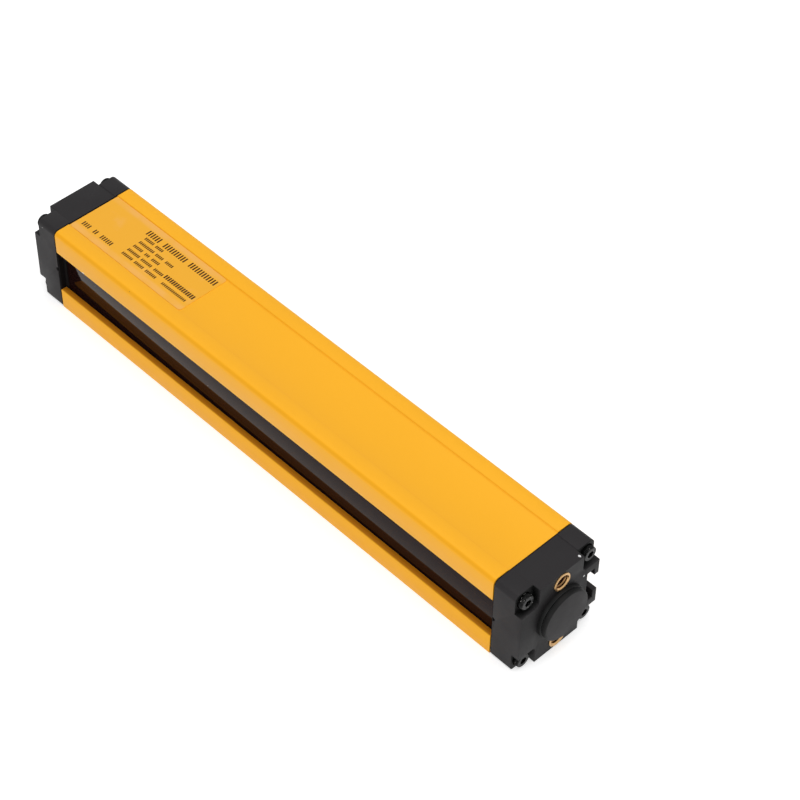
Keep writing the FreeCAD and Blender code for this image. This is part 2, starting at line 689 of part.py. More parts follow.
def make_connector_inside(seat, tail):
    """Insulator disc of the connector with its four pins, each a node of its own."""
    socket_floor = "(Sizes.connector_reach - Sizes.connector_socket_depth)"
    body = add_body("connector_insulator")
    sketch = add_sketch(body, "connector_insulator_sketch", role="XY_Plane", offset=tail)
    add_circle(sketch, "0", "0", "Sizes.connector_socket_radius")
    add_pad(body, sketch, "connector_insulator_disc", f"{socket_floor} - {tail}")
    holes = add_sketch(body, "connector_insulator_holes", role="XY_Plane", offset=tail)
    directions = ((1, 0), (0, 1), (-1, 0), (0, -1))
    for first, second in directions:
        centre = (f"{first} * Sizes.connector_pin_circle", f"{second} * Sizes.connector_pin_circle")
        add_circle(holes, *centre, "Sizes.connector_pin_radius")
    add_pocket(body, holes, "connector_insulator_bores", f"{socket_floor} - {tail}")
    place(body, seat, "0", HALF_HEIGHT, turn_to_x(-1))

    pin_length = f"{socket_floor} - {tail} + Sizes.connector_pin_tail + Sizes.connector_pin_reach"
    pin_start = f"{seat} - ({tail} - Sizes.connector_pin_tail)"
    for index, (first, second) in enumerate(directions, start=1):
        name = f"connector_pin_{index}"
        centre = (
            pin_start,
            f"{second} * Sizes.connector_pin_circle",
            f"{HALF_HEIGHT} + {first} * Sizes.connector_pin_circle",
        )
        pin = add_cylinder(f"{name}_rod", "Sizes.connector_pin_radius", pin_length, centre, turn_to_x(-1))
        register(name, pin)


# ---------------------------------------------------------------- optics and board


def make_carrier():
    """Optics carrier: a bar with a stepped hole for each beam, lens in front, diode behind."""
    beams = beam_places()
    body = add_body("optics_carrier")
    front = f"-({CARRIER_FRONT})"
    half_height = "(Sizes.window_neck / 2 - Sizes.carrier_clearance)"
    outline = add_sketch(body, "CarrierOutline", role="XZ_Plane", offset=front)
    half_pitch = "Sizes.beam_pitch / 2"
    low_end = f"{beams[-1]} - {half_pitch}"
    high_end = f"{beams[0]} + {half_pitch}"
    add_rectangle(outline, low_end, high_end, f"-{half_height}", half_height)
    add_pad(body, outline, "CarrierBar", "Sizes.carrier_depth", backwards=True)
    seat_depth = "Sizes.lens_setback + Sizes.lens_bulge + Sizes.lens_edge"
    bores = {
        "LensSeats": ("Sizes.lens_radius", seat_depth),
        "DiodeWells": ("Sizes.diode_well_radius", "Sizes.carrier_depth"),
    }
    for name, (radius, depth) in bores.items():
        sketch = add_sketch(body, f"{name}Sketch", role="XZ_Plane", offset=front)
        for beam in beams:
            add_circle(sketch, beam, "0", radius)
        add_pocket(body, sketch, name, depth, along_normal=False)
    place(body, up=HALF_HEIGHT)


def make_lens(index, beam):
    """Plano-convex lens: a disc limited by a ball, its flat side towards the diode."""
    name = f"lens_{index}"
    thickness = "(Sizes.lens_edge + Sizes.lens_bulge)"
    ball_radius = "((Sizes.lens_radius ^ 2 + Sizes.lens_bulge ^ 2) / (2 * Sizes.lens_bulge))"
    disc = add_cylinder(f"{name}_disc", "Sizes.lens_radius", thickness)
    ball = doc.addObject("Part::Sphere", f"{name}_ball")
    ball.setExpression("Radius", ball_radius)
    place(ball, up=f"{thickness} - {ball_radius}")
    lens = doc.addObject("Part::Common", f"{name}_common")
    lens.Base = disc
    lens.Tool = ball
    register(name, lens)
    flat_side = f"{CARRIER_FRONT} + Sizes.lens_setback + {thickness}"
    place(lens, beam, flat_side, HALF_HEIGHT, Rotation(Vector(1, 0, 0), QUARTER_TURN))


def make_diode(index, beam):
    """Round diode on the board: a flange, a barrel and a domed tip towards the lens."""
    name = f"diode_{index}"
    flange = add_cylinder(f"{name}_flange", "Sizes.diode_flange_radius", "Sizes.diode_flange_height")
    tip = "Sizes.diode_flange_height + Sizes.diode_body_height"
    barrel = add_cylinder(f"{name}_barrel", "Sizes.diode_radius", tip)
    dome = doc.addObject("Part::Sphere", f"{name}_dome")
    dome.setExpression("Radius", "Sizes.diode_radius")
    place(dome, up=tip)
    diode = register(name, add_fuse(f"{name}_fuse", [flange, barrel, dome]))
    place(diode, beam, BOARD_FRONT, HALF_HEIGHT, Rotation(Vector(1, 0, 0), QUARTER_TURN))


def make_board():
    """Main circuit board in the housing's grooves, with its wire header and chips."""
    length = "Sizes.housing_length - 2 * Sizes.board_end_gap"
    corner = (f"-({length}) / 2", BOARD_FRONT, f"{HALF_HEIGHT} - {BOARD_EDGE}")
    board = add_box("Board", length, "Sizes.board_thickness", f"2 * {BOARD_EDGE}", corner)
    register("main_board", board)

    header_start = f"-({length}) / 2 + Sizes.header_end_gap"
    header_corner = (header_start, BOARD_BACK, f"{HALF_HEIGHT} - Sizes.header_height / 2")
    header_size = ("Sizes.header_length", "Sizes.header_depth", "Sizes.header_height")
    register("wire_header", add_box("WireHeader", *header_size, header_corner))

    for name, place_along in (("signal_chip", "-Sizes.chip_spacing"), ("supply_chip", "Sizes.chip_spacing")):
        chip_corner = (
            f"{place_along} - Sizes.chip_side / 2",
            BOARD_BACK,
            f"{HALF_HEIGHT} - Sizes.chip_side / 2",
        )
        chip_size = ("Sizes.chip_side", "Sizes.chip_thickness", "Sizes.chip_side")
        register(name, add_box(f"{name}_box", *chip_size, chip_corner))


# ---------------------------------------------------------------- assembly and export


def make_ends():
    """Caps, gaskets, screws and inserts of both ends."""
    for end, side in (("blank", 1), ("connector", -1)):
        make_end_gasket(end, side)
        make_cap(end, side)
        for index, (across, level) in enumerate(CORNERS, start=1):
            make_screw(end, side, index, across, level)
        for level_name, level in (("lower", -1), ("upper", 1)):
            make_insert(end, side, level_name, level)


def check_document():
    """Stop if any object failed, or if a sub-part's shape is null or not valid."""
    doc.recompute()
    for item in doc.Objects:
        if "Invalid" in item.State or "Error" in item.State:
            raise RuntimeError(f"{item.Label} failed: {item.State}")
    for name, item in nodes.items():
        if item.Shape.isNull() or not item.Shape.isValid():
            raise RuntimeError(f"{name} has no valid shape")


def export_nodes():
    """Write each sub-part's shape to its own STEP file."""
    os.makedirs(PARTS_FOLDER, exist_ok=True)
    for name, item in nodes.items():
        item.Shape.exportStep(os.path.join(PARTS_FOLDER, f"{name}.step"))
        print(f"{name}: {item.Shape.Volume:.1f} mm3, {len(item.Shape.Solids)} solid")


sheet = make_sheet()
make_housing()
make_window()
make_label()
make_ends()
make_blanking_plug()
make_connector()
make_carrier()
for beam_index, beam_place in enumerate(beam_places(), start=1):
    make_lens(beam_index, beam_place)
    make_diode(beam_index, beam_place)
make_board()
check_document()
export_nodes()
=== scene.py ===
"""Looks of one safety light curtain bar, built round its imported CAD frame.

The bar lies on its base along X, with its optical window towards -Y, its T-slot towards +Y,
the blanked cap at +X and the connector cap at -X. A piece is worked in millimetres and is
scaled to metres when it is settled in its place.
"""
import logging
import math
from collections.abc import Callable, Iterator, Sequence
from contextlib import contextmanager
from dataclasses import dataclass
from enum import Enum

import bmesh
import bpy
from mathutils import Euler, Matrix, Vector


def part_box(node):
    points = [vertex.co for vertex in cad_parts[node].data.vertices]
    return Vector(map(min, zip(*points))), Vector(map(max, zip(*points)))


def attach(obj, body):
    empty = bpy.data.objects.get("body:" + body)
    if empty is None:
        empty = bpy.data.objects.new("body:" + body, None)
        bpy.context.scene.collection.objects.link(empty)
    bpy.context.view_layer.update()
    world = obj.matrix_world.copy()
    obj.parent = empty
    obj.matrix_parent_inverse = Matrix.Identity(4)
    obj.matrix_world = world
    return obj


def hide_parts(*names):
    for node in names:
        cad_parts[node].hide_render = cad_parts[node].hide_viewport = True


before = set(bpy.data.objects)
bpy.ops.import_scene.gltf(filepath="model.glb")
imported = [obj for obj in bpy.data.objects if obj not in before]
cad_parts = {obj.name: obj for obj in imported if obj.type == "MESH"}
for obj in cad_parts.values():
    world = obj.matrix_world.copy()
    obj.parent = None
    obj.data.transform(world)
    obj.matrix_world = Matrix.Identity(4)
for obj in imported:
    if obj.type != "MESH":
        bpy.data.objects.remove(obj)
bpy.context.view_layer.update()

MM = 0.001
NEAR = 1e-3
PAST = 1.0  # how far a tool runs past the face that it opens or joins
LAP = 0.1  # how far one channel's tool reaches into the channel before it
BITE = 0.05  # how far a thread's foot is sunk into its wall
SHARP_ANGLE = 40.0  # degrees at an edge from which it counts as a corner
FLAT_ANGLE = 0.2  # degrees up to which two faces are merged after a boolean
BODY = "root"
log = logging.getLogger("light_curtain")

Colour = tuple[float, float, float]
Point = tuple[float, float, float]
ORIGIN: Point = (0.0, 0.0, 0.0)
CORNERS = ((-1, -1), (-1, 1), (1, -1), (1, 1))  # sides along Y and Z of the section's four corners


class Axis(Enum):
    """Axis of the bar's own frame, with its index in a point."""

    X = 0
    Y = 1
    Z = 2


class Element(Enum):
    """Kind of mesh element that a tool works on."""

    VERTICES = "VERT"
    EDGES = "EDGE"
    FACES = "FACE"


class End(Enum):
    """End of the bar, with the direction in which it points along X."""

    BLANK = 1
    CONNECTOR = -1

    @property
    def label(self) -> str:
        """Name of the end as the CAD nodes spell it."""
        return self.name.lower()

    @property
    def turn(self) -> float:
        """Turn about Y in radians that points a piece worked towards +X out of this end."""
        return 0.0 if self is End.BLANK else math.pi

    def outer(self, box: "Box") -> float:
        """Give the place along X of the box's face that looks out of this end."""
        return box.high[0] if self is End.BLANK else box.low[0]


# ------------------------------------------------------------------ shaping tools


@dataclass(frozen=True)
class Box:
    """Axis-aligned box between two corners, in millimetres."""

    low: Point
    high: Point

    @classmethod
    def of_node(cls, node: str) -> "Box":
        """Give the box that a CAD node fills at rest.

        Args:
            node: Name of the CAD node.

        Returns:
            The node's box in millimetres.
        """
        low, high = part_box(node)
        return cls(tuple(value / MM for value in low), tuple(value / MM for value in high))

    @property
    def centre(self) -> Vector:
        """Middle of the box."""
        return (Vector(self.low) + Vector(self.high)) / 2

    @property
    def size(self) -> Vector:
        """Edge lengths of the box."""
        return Vector(self.high) - Vector(self.low)

    def point(self, share: Point, shift: Point = ORIGIN) -> Point:
        """Give a point of the box in metres, as shaders read places.

        Args:
            share: Share of each edge length from the low corner.
            shift: Further move in millimetres.

        Returns:
            The point in metres.
        """
        spans = zip(self.low, self.high, share, shift)
        return tuple((low + (high - low) * part + move) * MM for low, high, part, move in spans)


def middle_of(edge: bmesh.types.BMEdge) -> Vector:
    """Give the middle of an edge."""
    return (edge.verts[0].co + edge.verts[1].co) / 2


def runs_along(edge: bmesh.types.BMEdge, axis: Axis) -> bool:
    """Say whether an edge is parallel to an axis."""
    run = edge.verts[1].co - edge.verts[0].co
    return run.length > NEAR and abs(abs(run[axis.value]) / run.length - 1) < NEAR


def rim_at(axis: Axis, place: float) -> Callable[[bmesh.types.BMEdge], bool]:
    """Make a test for the edges that lie in the plane across an axis at one place.

    Args:
        axis: Axis that the plane is square to.
        place: Distance of the plane along that axis.

    Returns:
        A test that takes an edge.
    """
    return lambda edge: all(abs(corner.co[axis.value] - place) < NEAR for corner in edge.verts)


class Shape:
    """One mesh piece on the bench, worked in millimetres."""

    def __init__(self, piece: bpy.types.Object) -> None:
        """Take an object as the piece to work on.

        Args:
            piece: The mesh object.
        """
        self.piece = piece

    @classmethod
    def block(cls, name: str, box: Box) -> "Shape":
        """Add a cube primitive that fills a box.

        Args:
            name: Name of the new piece.
            box: Its size and place.

        Returns:
            The new shape.
        """
        bpy.ops.object.select_all(action="DESELECT")
        bpy.ops.mesh.primitive_cube_add(size=1.0, location=box.centre, scale=box.size)
        return cls.take(name)

    @classmethod
    def rod(
        cls, name: str, radius: float, start: Point, length: float, axis: Axis = Axis.X, sides: int = 64
    ) -> "Shape":
        """Add a cylinder primitive that runs from a point along an axis.

        Args:
            name: Name of the new piece.
            radius: Radius of the rod.
            start: Centre of its first face.
            length: Its length along the axis.
            axis: Axis that it follows.
            sides: Number of its side faces.

        Returns:
            The new shape.
        """
        turns = {
            Axis.X: (0.0, math.pi / 2, 0.0),
            Axis.Y: (math.pi / 2, 0.0, 0.0),
            Axis.Z: (0.0, 0.0, 0.0),
        }
        centre = Vector(start)
        centre[axis.value] += length / 2
        bpy.ops.object.select_all(action="DESELECT")
        bpy.ops.mesh.primitive_cylinder_add(
            vertices=sides, radius=radius, depth=length, location=centre, rotation=turns[axis]
        )
        return cls.take(name)

    @classmethod
    def take(cls, name: str) -> "Shape":
        """Name the new primitive and bake its place into its mesh.

        Args:
            name: Name of the new piece.

        Returns:
            The new shape.
        """
        piece = bpy.context.active_object
        piece.name = name
        piece.data.name = name
        bpy.ops.object.transform_apply(location=True, rotation=True, scale=True)
        return cls(piece)

    def activate(self) -> None:
        """Make the piece the only selected object."""
        bpy.ops.object.select_all(action="DESELECT")
        self.piece.select_set(True)
        bpy.context.view_layer.objects.active = self.piece

    @contextmanager
    def picked(self, element: Element, wanted: Callable) -> Iterator[None]:
        """Work in edit mode with just the wanted elements selected.

        Args:
            element: Kind of element to select.
            wanted: Test that takes one element.

        Yields:
            Nothing; the mesh operators then work on the selection.
        """
        self.activate()
        bpy.ops.object.mode_set(mode="EDIT")
        bpy.ops.mesh.select_mode(type=element.value)
        bpy.ops.mesh.select_all(action="DESELECT")
        mesh = bmesh.from_edit_mesh(self.piece.data)
        groups = {Element.VERTICES: mesh.verts, Element.EDGES: mesh.edges, Element.FACES: mesh.faces}
        chosen = [item for item in groups[element] if wanted(item)]
        if not chosen:
            raise RuntimeError(f"nothing to work on in {self.piece.name}")
        for item in chosen:
            item.select_set(True)
        mesh.select_flush_mode()
        bmesh.update_edit_mesh(self.piece.data)
        yield
        bpy.ops.object.mode_set(mode="OBJECT")

    def bevel(self, wanted: Callable, width: float, segments: int = 2) -> "Shape":
        """Round the wanted edges.

        Args:
            wanted: Test that takes an edge.
            width: Width of the rounding.
            segments: Number of its steps.

        Returns:
            The shape itself.
        """
        with self.picked(Element.EDGES, wanted):
            bpy.ops.mesh.bevel(
                offset=width, segments=segments, profile=0.5, affect="EDGES", clamp_overlap=True
            )
        return self

    def slice(self, axis: Axis, place: float) -> "Shape":
        """Cut the surface by a plane across an axis, and keep both sides.

        Args:
            axis: Axis that the plane is square to.
            place: Distance of the plane along that axis.

        Returns:
            The shape itself.
        """
        point = [0.0, 0.0, 0.0]
        point[axis.value] = place
        normal = [0.0, 0.0, 0.0]
        normal[axis.value] = 1.0
        with self.picked(Element.FACES, lambda face: True):
            bpy.ops.mesh.bisect(plane_co=point, plane_no=normal)
        return self

    def modify(self, kind: str, **settings: object) -> "Shape":
        """Add a modifier and apply it.

        Args:
            kind: Type of the modifier.
            settings: Its settings by name.

        Returns:
            The shape itself.
        """
        modifier = self.piece.modifiers.new(kind.title(), kind)
        for name, value in settings.items():
            setattr(modifier, name, value)
        self.activate()
        bpy.ops.object.modifier_apply(modifier=modifier.name)
        return self

    def carve(self, *tools: "Shape") -> "Shape":
        """Cut tools out of the piece; the tools are used up."""
        return self._combine("DIFFERENCE", tools)

    def unite(self, *tools: "Shape") -> "Shape":
        """Join tools to the piece; the tools are used up."""
        return self._combine("UNION", tools)

    def _combine(self, operation: str, tools: Sequence["Shape"]) -> "Shape":
        """Run one boolean for each tool and clean up the seams."""
        for tool in tools:
            self.modify("BOOLEAN", object=tool.piece, operation=operation, solver="EXACT")
            bpy.data.objects.remove(tool.piece, do_unlink=True)
        with self.picked(Element.VERTICES, lambda vertex: True):
            bpy.ops.mesh.remove_doubles(threshold=NEAR)
            bpy.ops.mesh.dissolve_limited(angle_limit=math.radians(FLAT_ANGLE))
        return self

    def join(self, *others: "Shape") -> "Shape":
        """Merge other shapes into this piece's mesh as loose shells."""
        self.activate()
        for other in others:
            other.piece.select_set(True)
        bpy.ops.object.join()
        return self

    def copy(self, name: str) -> "Shape":
        """Copy the piece with a mesh of its own."""
        twin = self.piece.copy()
        twin.data = self.piece.data.copy()
        twin.name = name
        twin.data.name = name
        bpy.context.scene.collection.objects.link(twin)
        return Shape(twin)

    def discard(self) -> None:
        """Remove a pattern piece once its copies are made."""
        bpy.data.objects.remove(self.piece, do_unlink=True)

    def settle(
        self, move: Point = ORIGIN, turn: float = 0.0, smooth_angle: float = 32.0
    ) -> bpy.types.Object:
        """Bake the piece's place into its mesh in metres, and shade it.

        Args:
            move: Where the piece's own origin goes, in millimetres.
            turn: Turn about Y in radians, before the move.
            smooth_angle: Angle in degrees over which an edge stays sharp.

        Returns:
            The finished object at the origin.
        """
        self.activate()
        self.piece.location = Vector(move) * MM
        self.piece.rotation_euler = (0.0, turn, 0.0)
        self.piece.scale = (MM, MM, MM)
        bpy.ops.object.transform_apply(location=True, rotation=True, scale=True)
        bpy.ops.object.shade_smooth_by_angle(angle=math.radians(smooth_angle))
        return self.piece


def sharp(edge: bmesh.types.BMEdge) -> bool:
    """Say whether the faces at an edge meet at a corner."""
    return edge.is_manifold and edge.calc_face_angle() > math.radians(SHARP_ANGLE)


def swept(
    name: str, profile: Sequence[tuple[float, float]], advance: float = 0.0, turns: int = 1, steps: int = 96
) -> Shape:
    """Sweep a closed profile round the X axis, as a lathe or a thread cutter does.

    Args:
        name: Name of the piece.
        profile: Corners as (place along X, radius), in order round the profile.
        advance: Advance along X in one turn, 0 for a turned part.
        turns: Number of turns.
        steps: Number of steps in a turn.

    Returns:
        The swept shape, closed and with its faces outwards.
    """
    bpy.ops.object.select_all(action="DESELECT")
    bpy.ops.mesh.primitive_circle_add(vertices=len(profile), radius=1.0, fill_type="NOTHING")
    shape = Shape.take(name)
    for vertex, (along, radius) in zip(shape.piece.data.vertices, profile):
        vertex.co = (along, 0.0, radius)
    shape.modify(
        "SCREW", axis="X", angle=2 * math.pi, screw_offset=advance, iterations=turns, steps=steps,
        render_steps=steps, use_merge_vertices=advance == 0.0,
    )
    with shape.picked(Element.VERTICES, lambda vertex: True):
        bpy.ops.mesh.remove_doubles(threshold=NEAR)
        bpy.ops.mesh.delete_loose(use_verts=True, use_edges=True, use_faces=False)
        bpy.ops.mesh.select_all(action="DESELECT")
        if advance:
            bpy.ops.mesh.select_non_manifold()
            bpy.ops.mesh.fill_holes(sides=len(profile) + 1)
        bpy.ops.mesh.select_all(action="SELECT")
        bpy.ops.mesh.normals_make_consistent(inside=False)
    return shape


def thread(name: str, root: float, crest: float, pitch: float, start: float, turns: int) -> Shape:
    """Make one screw thread as a closed three-sided ridge wound round X.

    Args:
        name: Name of the piece.
        root: Radius of the ridge's foot.
        crest: Radius of its crest, smaller than root for an inside thread.
        pitch: Advance of one turn.
        start: Place along X where it begins.
        turns: Number of turns.

    Returns:
        The ridge as a shape.
    """
    width = pitch * 0.84
    ridge = ((start, root), (start + width / 2, crest), (start + width, root))
    return swept(name, ridge, advance=pitch, turns=turns, steps=40)


# ------------------------------------------------------------------ node wiring


class Wiring:
    """Short hand for the nodes and links of one node tree."""

    def __init__(self, tree: bpy.types.NodeTree) -> None:
        """Take a node tree.

        Args:
            tree: Tree that the nodes go in.
        """
        self.tree = tree

    def node(self, kind: str, **settings: object) -> bpy.types.Node:
        """Add a node.

        Args:
            kind: Blender's name of the node type.
            settings: Its settings by name.

        Returns:
            The new node.
        """
        node = self.tree.nodes.new(kind)
        for name, value in settings.items():
            setattr(node, name, value)
        return node

    def feed(self, socket: bpy.types.NodeSocket, source: object) -> None:
        """Link another socket to an input, or set the input's own value.

        Args:
            socket: The input.
            source: An output socket, or a plain value.
        """
        if isinstance(source, bpy.types.NodeSocket):
            self.tree.links.new(source, socket)
        else:
            socket.default_value = source

    def maths(self, operation: str, *values: object, clamp: bool = False) -> bpy.types.NodeSocket:
        """Work out one number from others.

        Args:
            operation: Blender's name of the sum.
            values: Sockets or numbers that go in.
            clamp: Whether the result is kept between 0 and 1.

        Returns:
            The result.
        """
        node = self.node("ShaderNodeMath", operation=operation, use_clamp=clamp)
        for socket, value in zip(node.inputs, values):
            self.feed(socket, value)
        return node.outputs[0]

    def vector(self, operation: str, *values: object) -> bpy.types.Node:
        """Add a vector sum and give its node.

        Args:
            operation: Blender's name of the sum.
            values: Sockets or vectors that go in.

        Returns:
            The node, whose outputs are Vector and Value.
        """
        node = self.node("ShaderNodeVectorMath", operation=operation)
        for socket, value in zip(node.inputs, values):
            self.feed(socket, value)
        return node

    def spread(
        self, value: object, low: object, high: object, first: float = 0.0, last: float = 1.0
    ) -> bpy.types.NodeSocket:
        """Carry a value smoothly from one range to another.

        Args:
            value: Socket that goes in.
            low: Value that gives first.
            high: Value that gives last.
            first: Result at low.
            last: Result at high.

        Returns:
            The result.
        """
        node = self.node("ShaderNodeMapRange", interpolation_type="SMOOTHSTEP")
        values = {"Value": value, "From Min": low, "From Max": high, "To Min": first, "To Max": last}
        for name, number in values.items():
            self.feed(node.inputs[name], number)
        return node.outputs["Result"]

    def blend(self, mask: object, under: object, over: object) -> bpy.types.NodeSocket:
        """Lay one colour over another through a mask.

        Args:
            mask: Where the second colour shows, from 0 to 1.
            under: First colour.
            over: Second colour.

        Returns:
            The mixed colour.
        """
        node = self.node("ShaderNodeMix", data_type="RGBA")
        self.feed(node.inputs[0], mask)
        for socket, colour in ((node.inputs[6], under), (node.inputs[7], over)):
            self.feed(socket, colour if isinstance(colour, bpy.types.NodeSocket) else (*colour, 1.0))
        return node.outputs[2]

    def effect(self, tree: bpy.types.NodeTree, **values: object) -> bpy.types.Node:
        """Place a shared effect and set its inputs.

        Args:
            tree: The effect's node group.
            values: Its inputs by name, with _ for a space.

        Returns:
            The group node.
        """
        node = self.node("ShaderNodeGroup", node_tree=tree)
        for name, value in values.items():
            self.feed(node.inputs[name.replace("_", " ")], value)
        return node


@dataclass(frozen=True)
class EffectBench:
    """A new shader node group with its wiring and its two end nodes."""

    tree: bpy.types.NodeTree
    wiring: Wiring
    source: bpy.types.Node
    result: bpy.types.Node

    @classmethod
    def open(cls, name: str, inputs: dict[str, tuple[str, object]], outputs: Sequence[str]) -> "EffectBench":
        """Start a node group with its sockets.

        Args:
            name: Name of the effect.
            inputs: Socket type and first value of each input, by name.
            outputs: Names of its outputs, all plain numbers.

        Returns:
            The open bench.
        """
        tree = bpy.data.node_groups.new(name, "ShaderNodeTree")
        for socket_name, (kind, value) in inputs.items():
            socket = tree.interface.new_socket(socket_name, in_out="INPUT", socket_type=kind)
            socket.default_value = value
        for socket_name in outputs:
            tree.interface.new_socket(socket_name, in_out="OUTPUT", socket_type="NodeSocketFloat")
        wiring = Wiring(tree)
        return cls(tree, wiring, wiring.node("NodeGroupInput"), wiring.node("NodeGroupOutput"))

    def distance_from_x(self) -> bpy.types.NodeSocket:
        """Give the distance of Vector from the line along X through Place."""
        away = self.wiring.vector("SUBTRACT", self.source.outputs["Vector"], self.source.outputs["Place"])
        flat = self.wiring.vector("MULTIPLY", away.outputs["Vector"], (0.0, 1.0, 1.0))
        return self.wiring.vector("LENGTH", flat.outputs["Vector"]).outputs["Value"]

    def close(self, **results: bpy.types.NodeSocket) -> bpy.types.NodeTree:
        """Link the results and give the finished group.

        Args:
            results: Sockets that feed the outputs, by name.

        Returns:
            The node group.
        """
        for name, socket in results.items():
            self.wiring.feed(self.result.inputs[name], socket)
        return self.tree


FLOAT = "NodeSocketFloat"
VECTOR = "NodeSocketVector"


@dataclass(frozen=True)
class Effects:
    """The effects that several finishes share."""

    grain: bpy.types.NodeTree
    specks: bpy.types.NodeTree
    spot: bpy.types.NodeTree
    rings: bpy.types.NodeTree
    line: bpy.types.NodeTree

    @classmethod
    def build(cls) -> "Effects":
        """Build each effect once."""
        return cls(cls._grain(), cls._specks(), cls._spot(), cls._rings(), cls._line())

    @staticmethod
    def _grain() -> bpy.types.NodeTree:
        """Even grain: a height, and a tone that swings about 1."""
        inputs = {"Vector": (VECTOR, ORIGIN), "Scale": (FLOAT, 1000.0), "Contrast": (FLOAT, 0.1)}
        bench = EffectBench.open("Even grain", inputs, ("Height", "Tone"))
        wiring = bench.wiring
        noise = wiring.node("ShaderNodeTexNoise")
        wiring.feed(noise.inputs["Vector"], bench.source.outputs["Vector"])
        wiring.feed(noise.inputs["Scale"], bench.source.outputs["Scale"])
        wiring.feed(noise.inputs["Detail"], 3.0)
        swing = wiring.maths("SUBTRACT", noise.outputs[0], 0.5)
        tone = wiring.maths("MULTIPLY_ADD", swing, bench.source.outputs["Contrast"], 1.0)
        return bench.close(Height=noise.outputs[0], Tone=tone)

    @staticmethod
    def _specks() -> bpy.types.NodeTree:
        """Sparse round specks: one cell in so many holds a speck."""
        inputs = {
            "Vector": (VECTOR, ORIGIN), "Scale": (FLOAT, 300.0), "Reach": (FLOAT, 0.1), "Share": (FLOAT, 0.05)
        }
        bench = EffectBench.open("Sparse specks", inputs, ("Mask",))
        wiring = bench.wiring
        cells = wiring.node("ShaderNodeTexVoronoi", feature="F1")
        wiring.feed(cells.inputs["Vector"], bench.source.outputs["Vector"])
        wiring.feed(cells.inputs["Scale"], bench.source.outputs["Scale"])
        chance = wiring.node("ShaderNodeSeparateColor")
        wiring.feed(chance.inputs[0], cells.outputs["Color"])
        held = wiring.maths("LESS_THAN", chance.outputs[0], bench.source.outputs["Share"])
        inside = wiring.maths("LESS_THAN", cells.outputs["Distance"], bench.source.outputs["Reach"])
        return bench.close(Mask=wiring.maths("MULTIPLY", held, inside))

    @staticmethod
    def _spot() -> bpy.types.NodeTree:
        """One ragged spot at a place, as a chip or a smear leaves it; a cap also takes one as a painted
        glint.
        """
        inputs = {"Vector": (VECTOR, ORIGIN), "Place": (VECTOR, ORIGIN), "Reach": (VECTOR, (1.0, 1.0, 1.0))}
        bench = EffectBench.open("Ragged spot", inputs, ("Mask",))
        wiring = bench.wiring
        away = wiring.vector("SUBTRACT", bench.source.outputs["Vector"], bench.source.outputs["Place"])
        share = wiring.vector("DIVIDE", away.outputs["Vector"], bench.source.outputs["Reach"])
        length = wiring.vector("LENGTH", share.outputs["Vector"]).outputs["Value"]
        ragged = wiring.node("ShaderNodeTexNoise")
        wiring.feed(ragged.inputs["Vector"], share.outputs["Vector"])
        wiring.feed(ragged.inputs["Scale"], 2.6)
        edge = wiring.maths("MULTIPLY_ADD", wiring.maths("SUBTRACT", ragged.outputs[0], 0.5), 1.2, length)
        return bench.close(Mask=wiring.spread(edge, 1.0, 0.7))

    @staticmethod
    def _rings() -> bpy.types.NodeTree:
        """Fine rings about an axis along X, as turning leaves them."""
        inputs = {"Vector": (VECTOR, ORIGIN), "Place": (VECTOR, ORIGIN), "Spacing": (FLOAT, 0.0003)}
        bench = EffectBench.open("Turned rings", inputs, ("Height",))
        wiring = bench.wiring
        radius = bench.distance_from_x()
        phase = wiring.maths("DIVIDE", radius, bench.source.outputs["Spacing"])
        wave = wiring.maths("SINE", wiring.maths("MULTIPLY", phase, 2 * math.pi))
        return bench.close(Height=wave)

    @staticmethod
    def _line() -> bpy.types.NodeTree:
        """Soft line along X at a place, used as a mask of painted shade."""
        inputs = {
            "Vector": (VECTOR, ORIGIN), "Place": (VECTOR, ORIGIN),
            "Inner": (FLOAT, 0.0002), "Outer": (FLOAT, 0.001),
        }
        bench = EffectBench.open("Long line", inputs, ("Mask",))
        distance = bench.distance_from_x()
        mask = bench.wiring.spread(distance, bench.source.outputs["Outer"], bench.source.outputs["Inner"])
        return bench.close(Mask=mask)


# ------------------------------------------------------------------ finishes


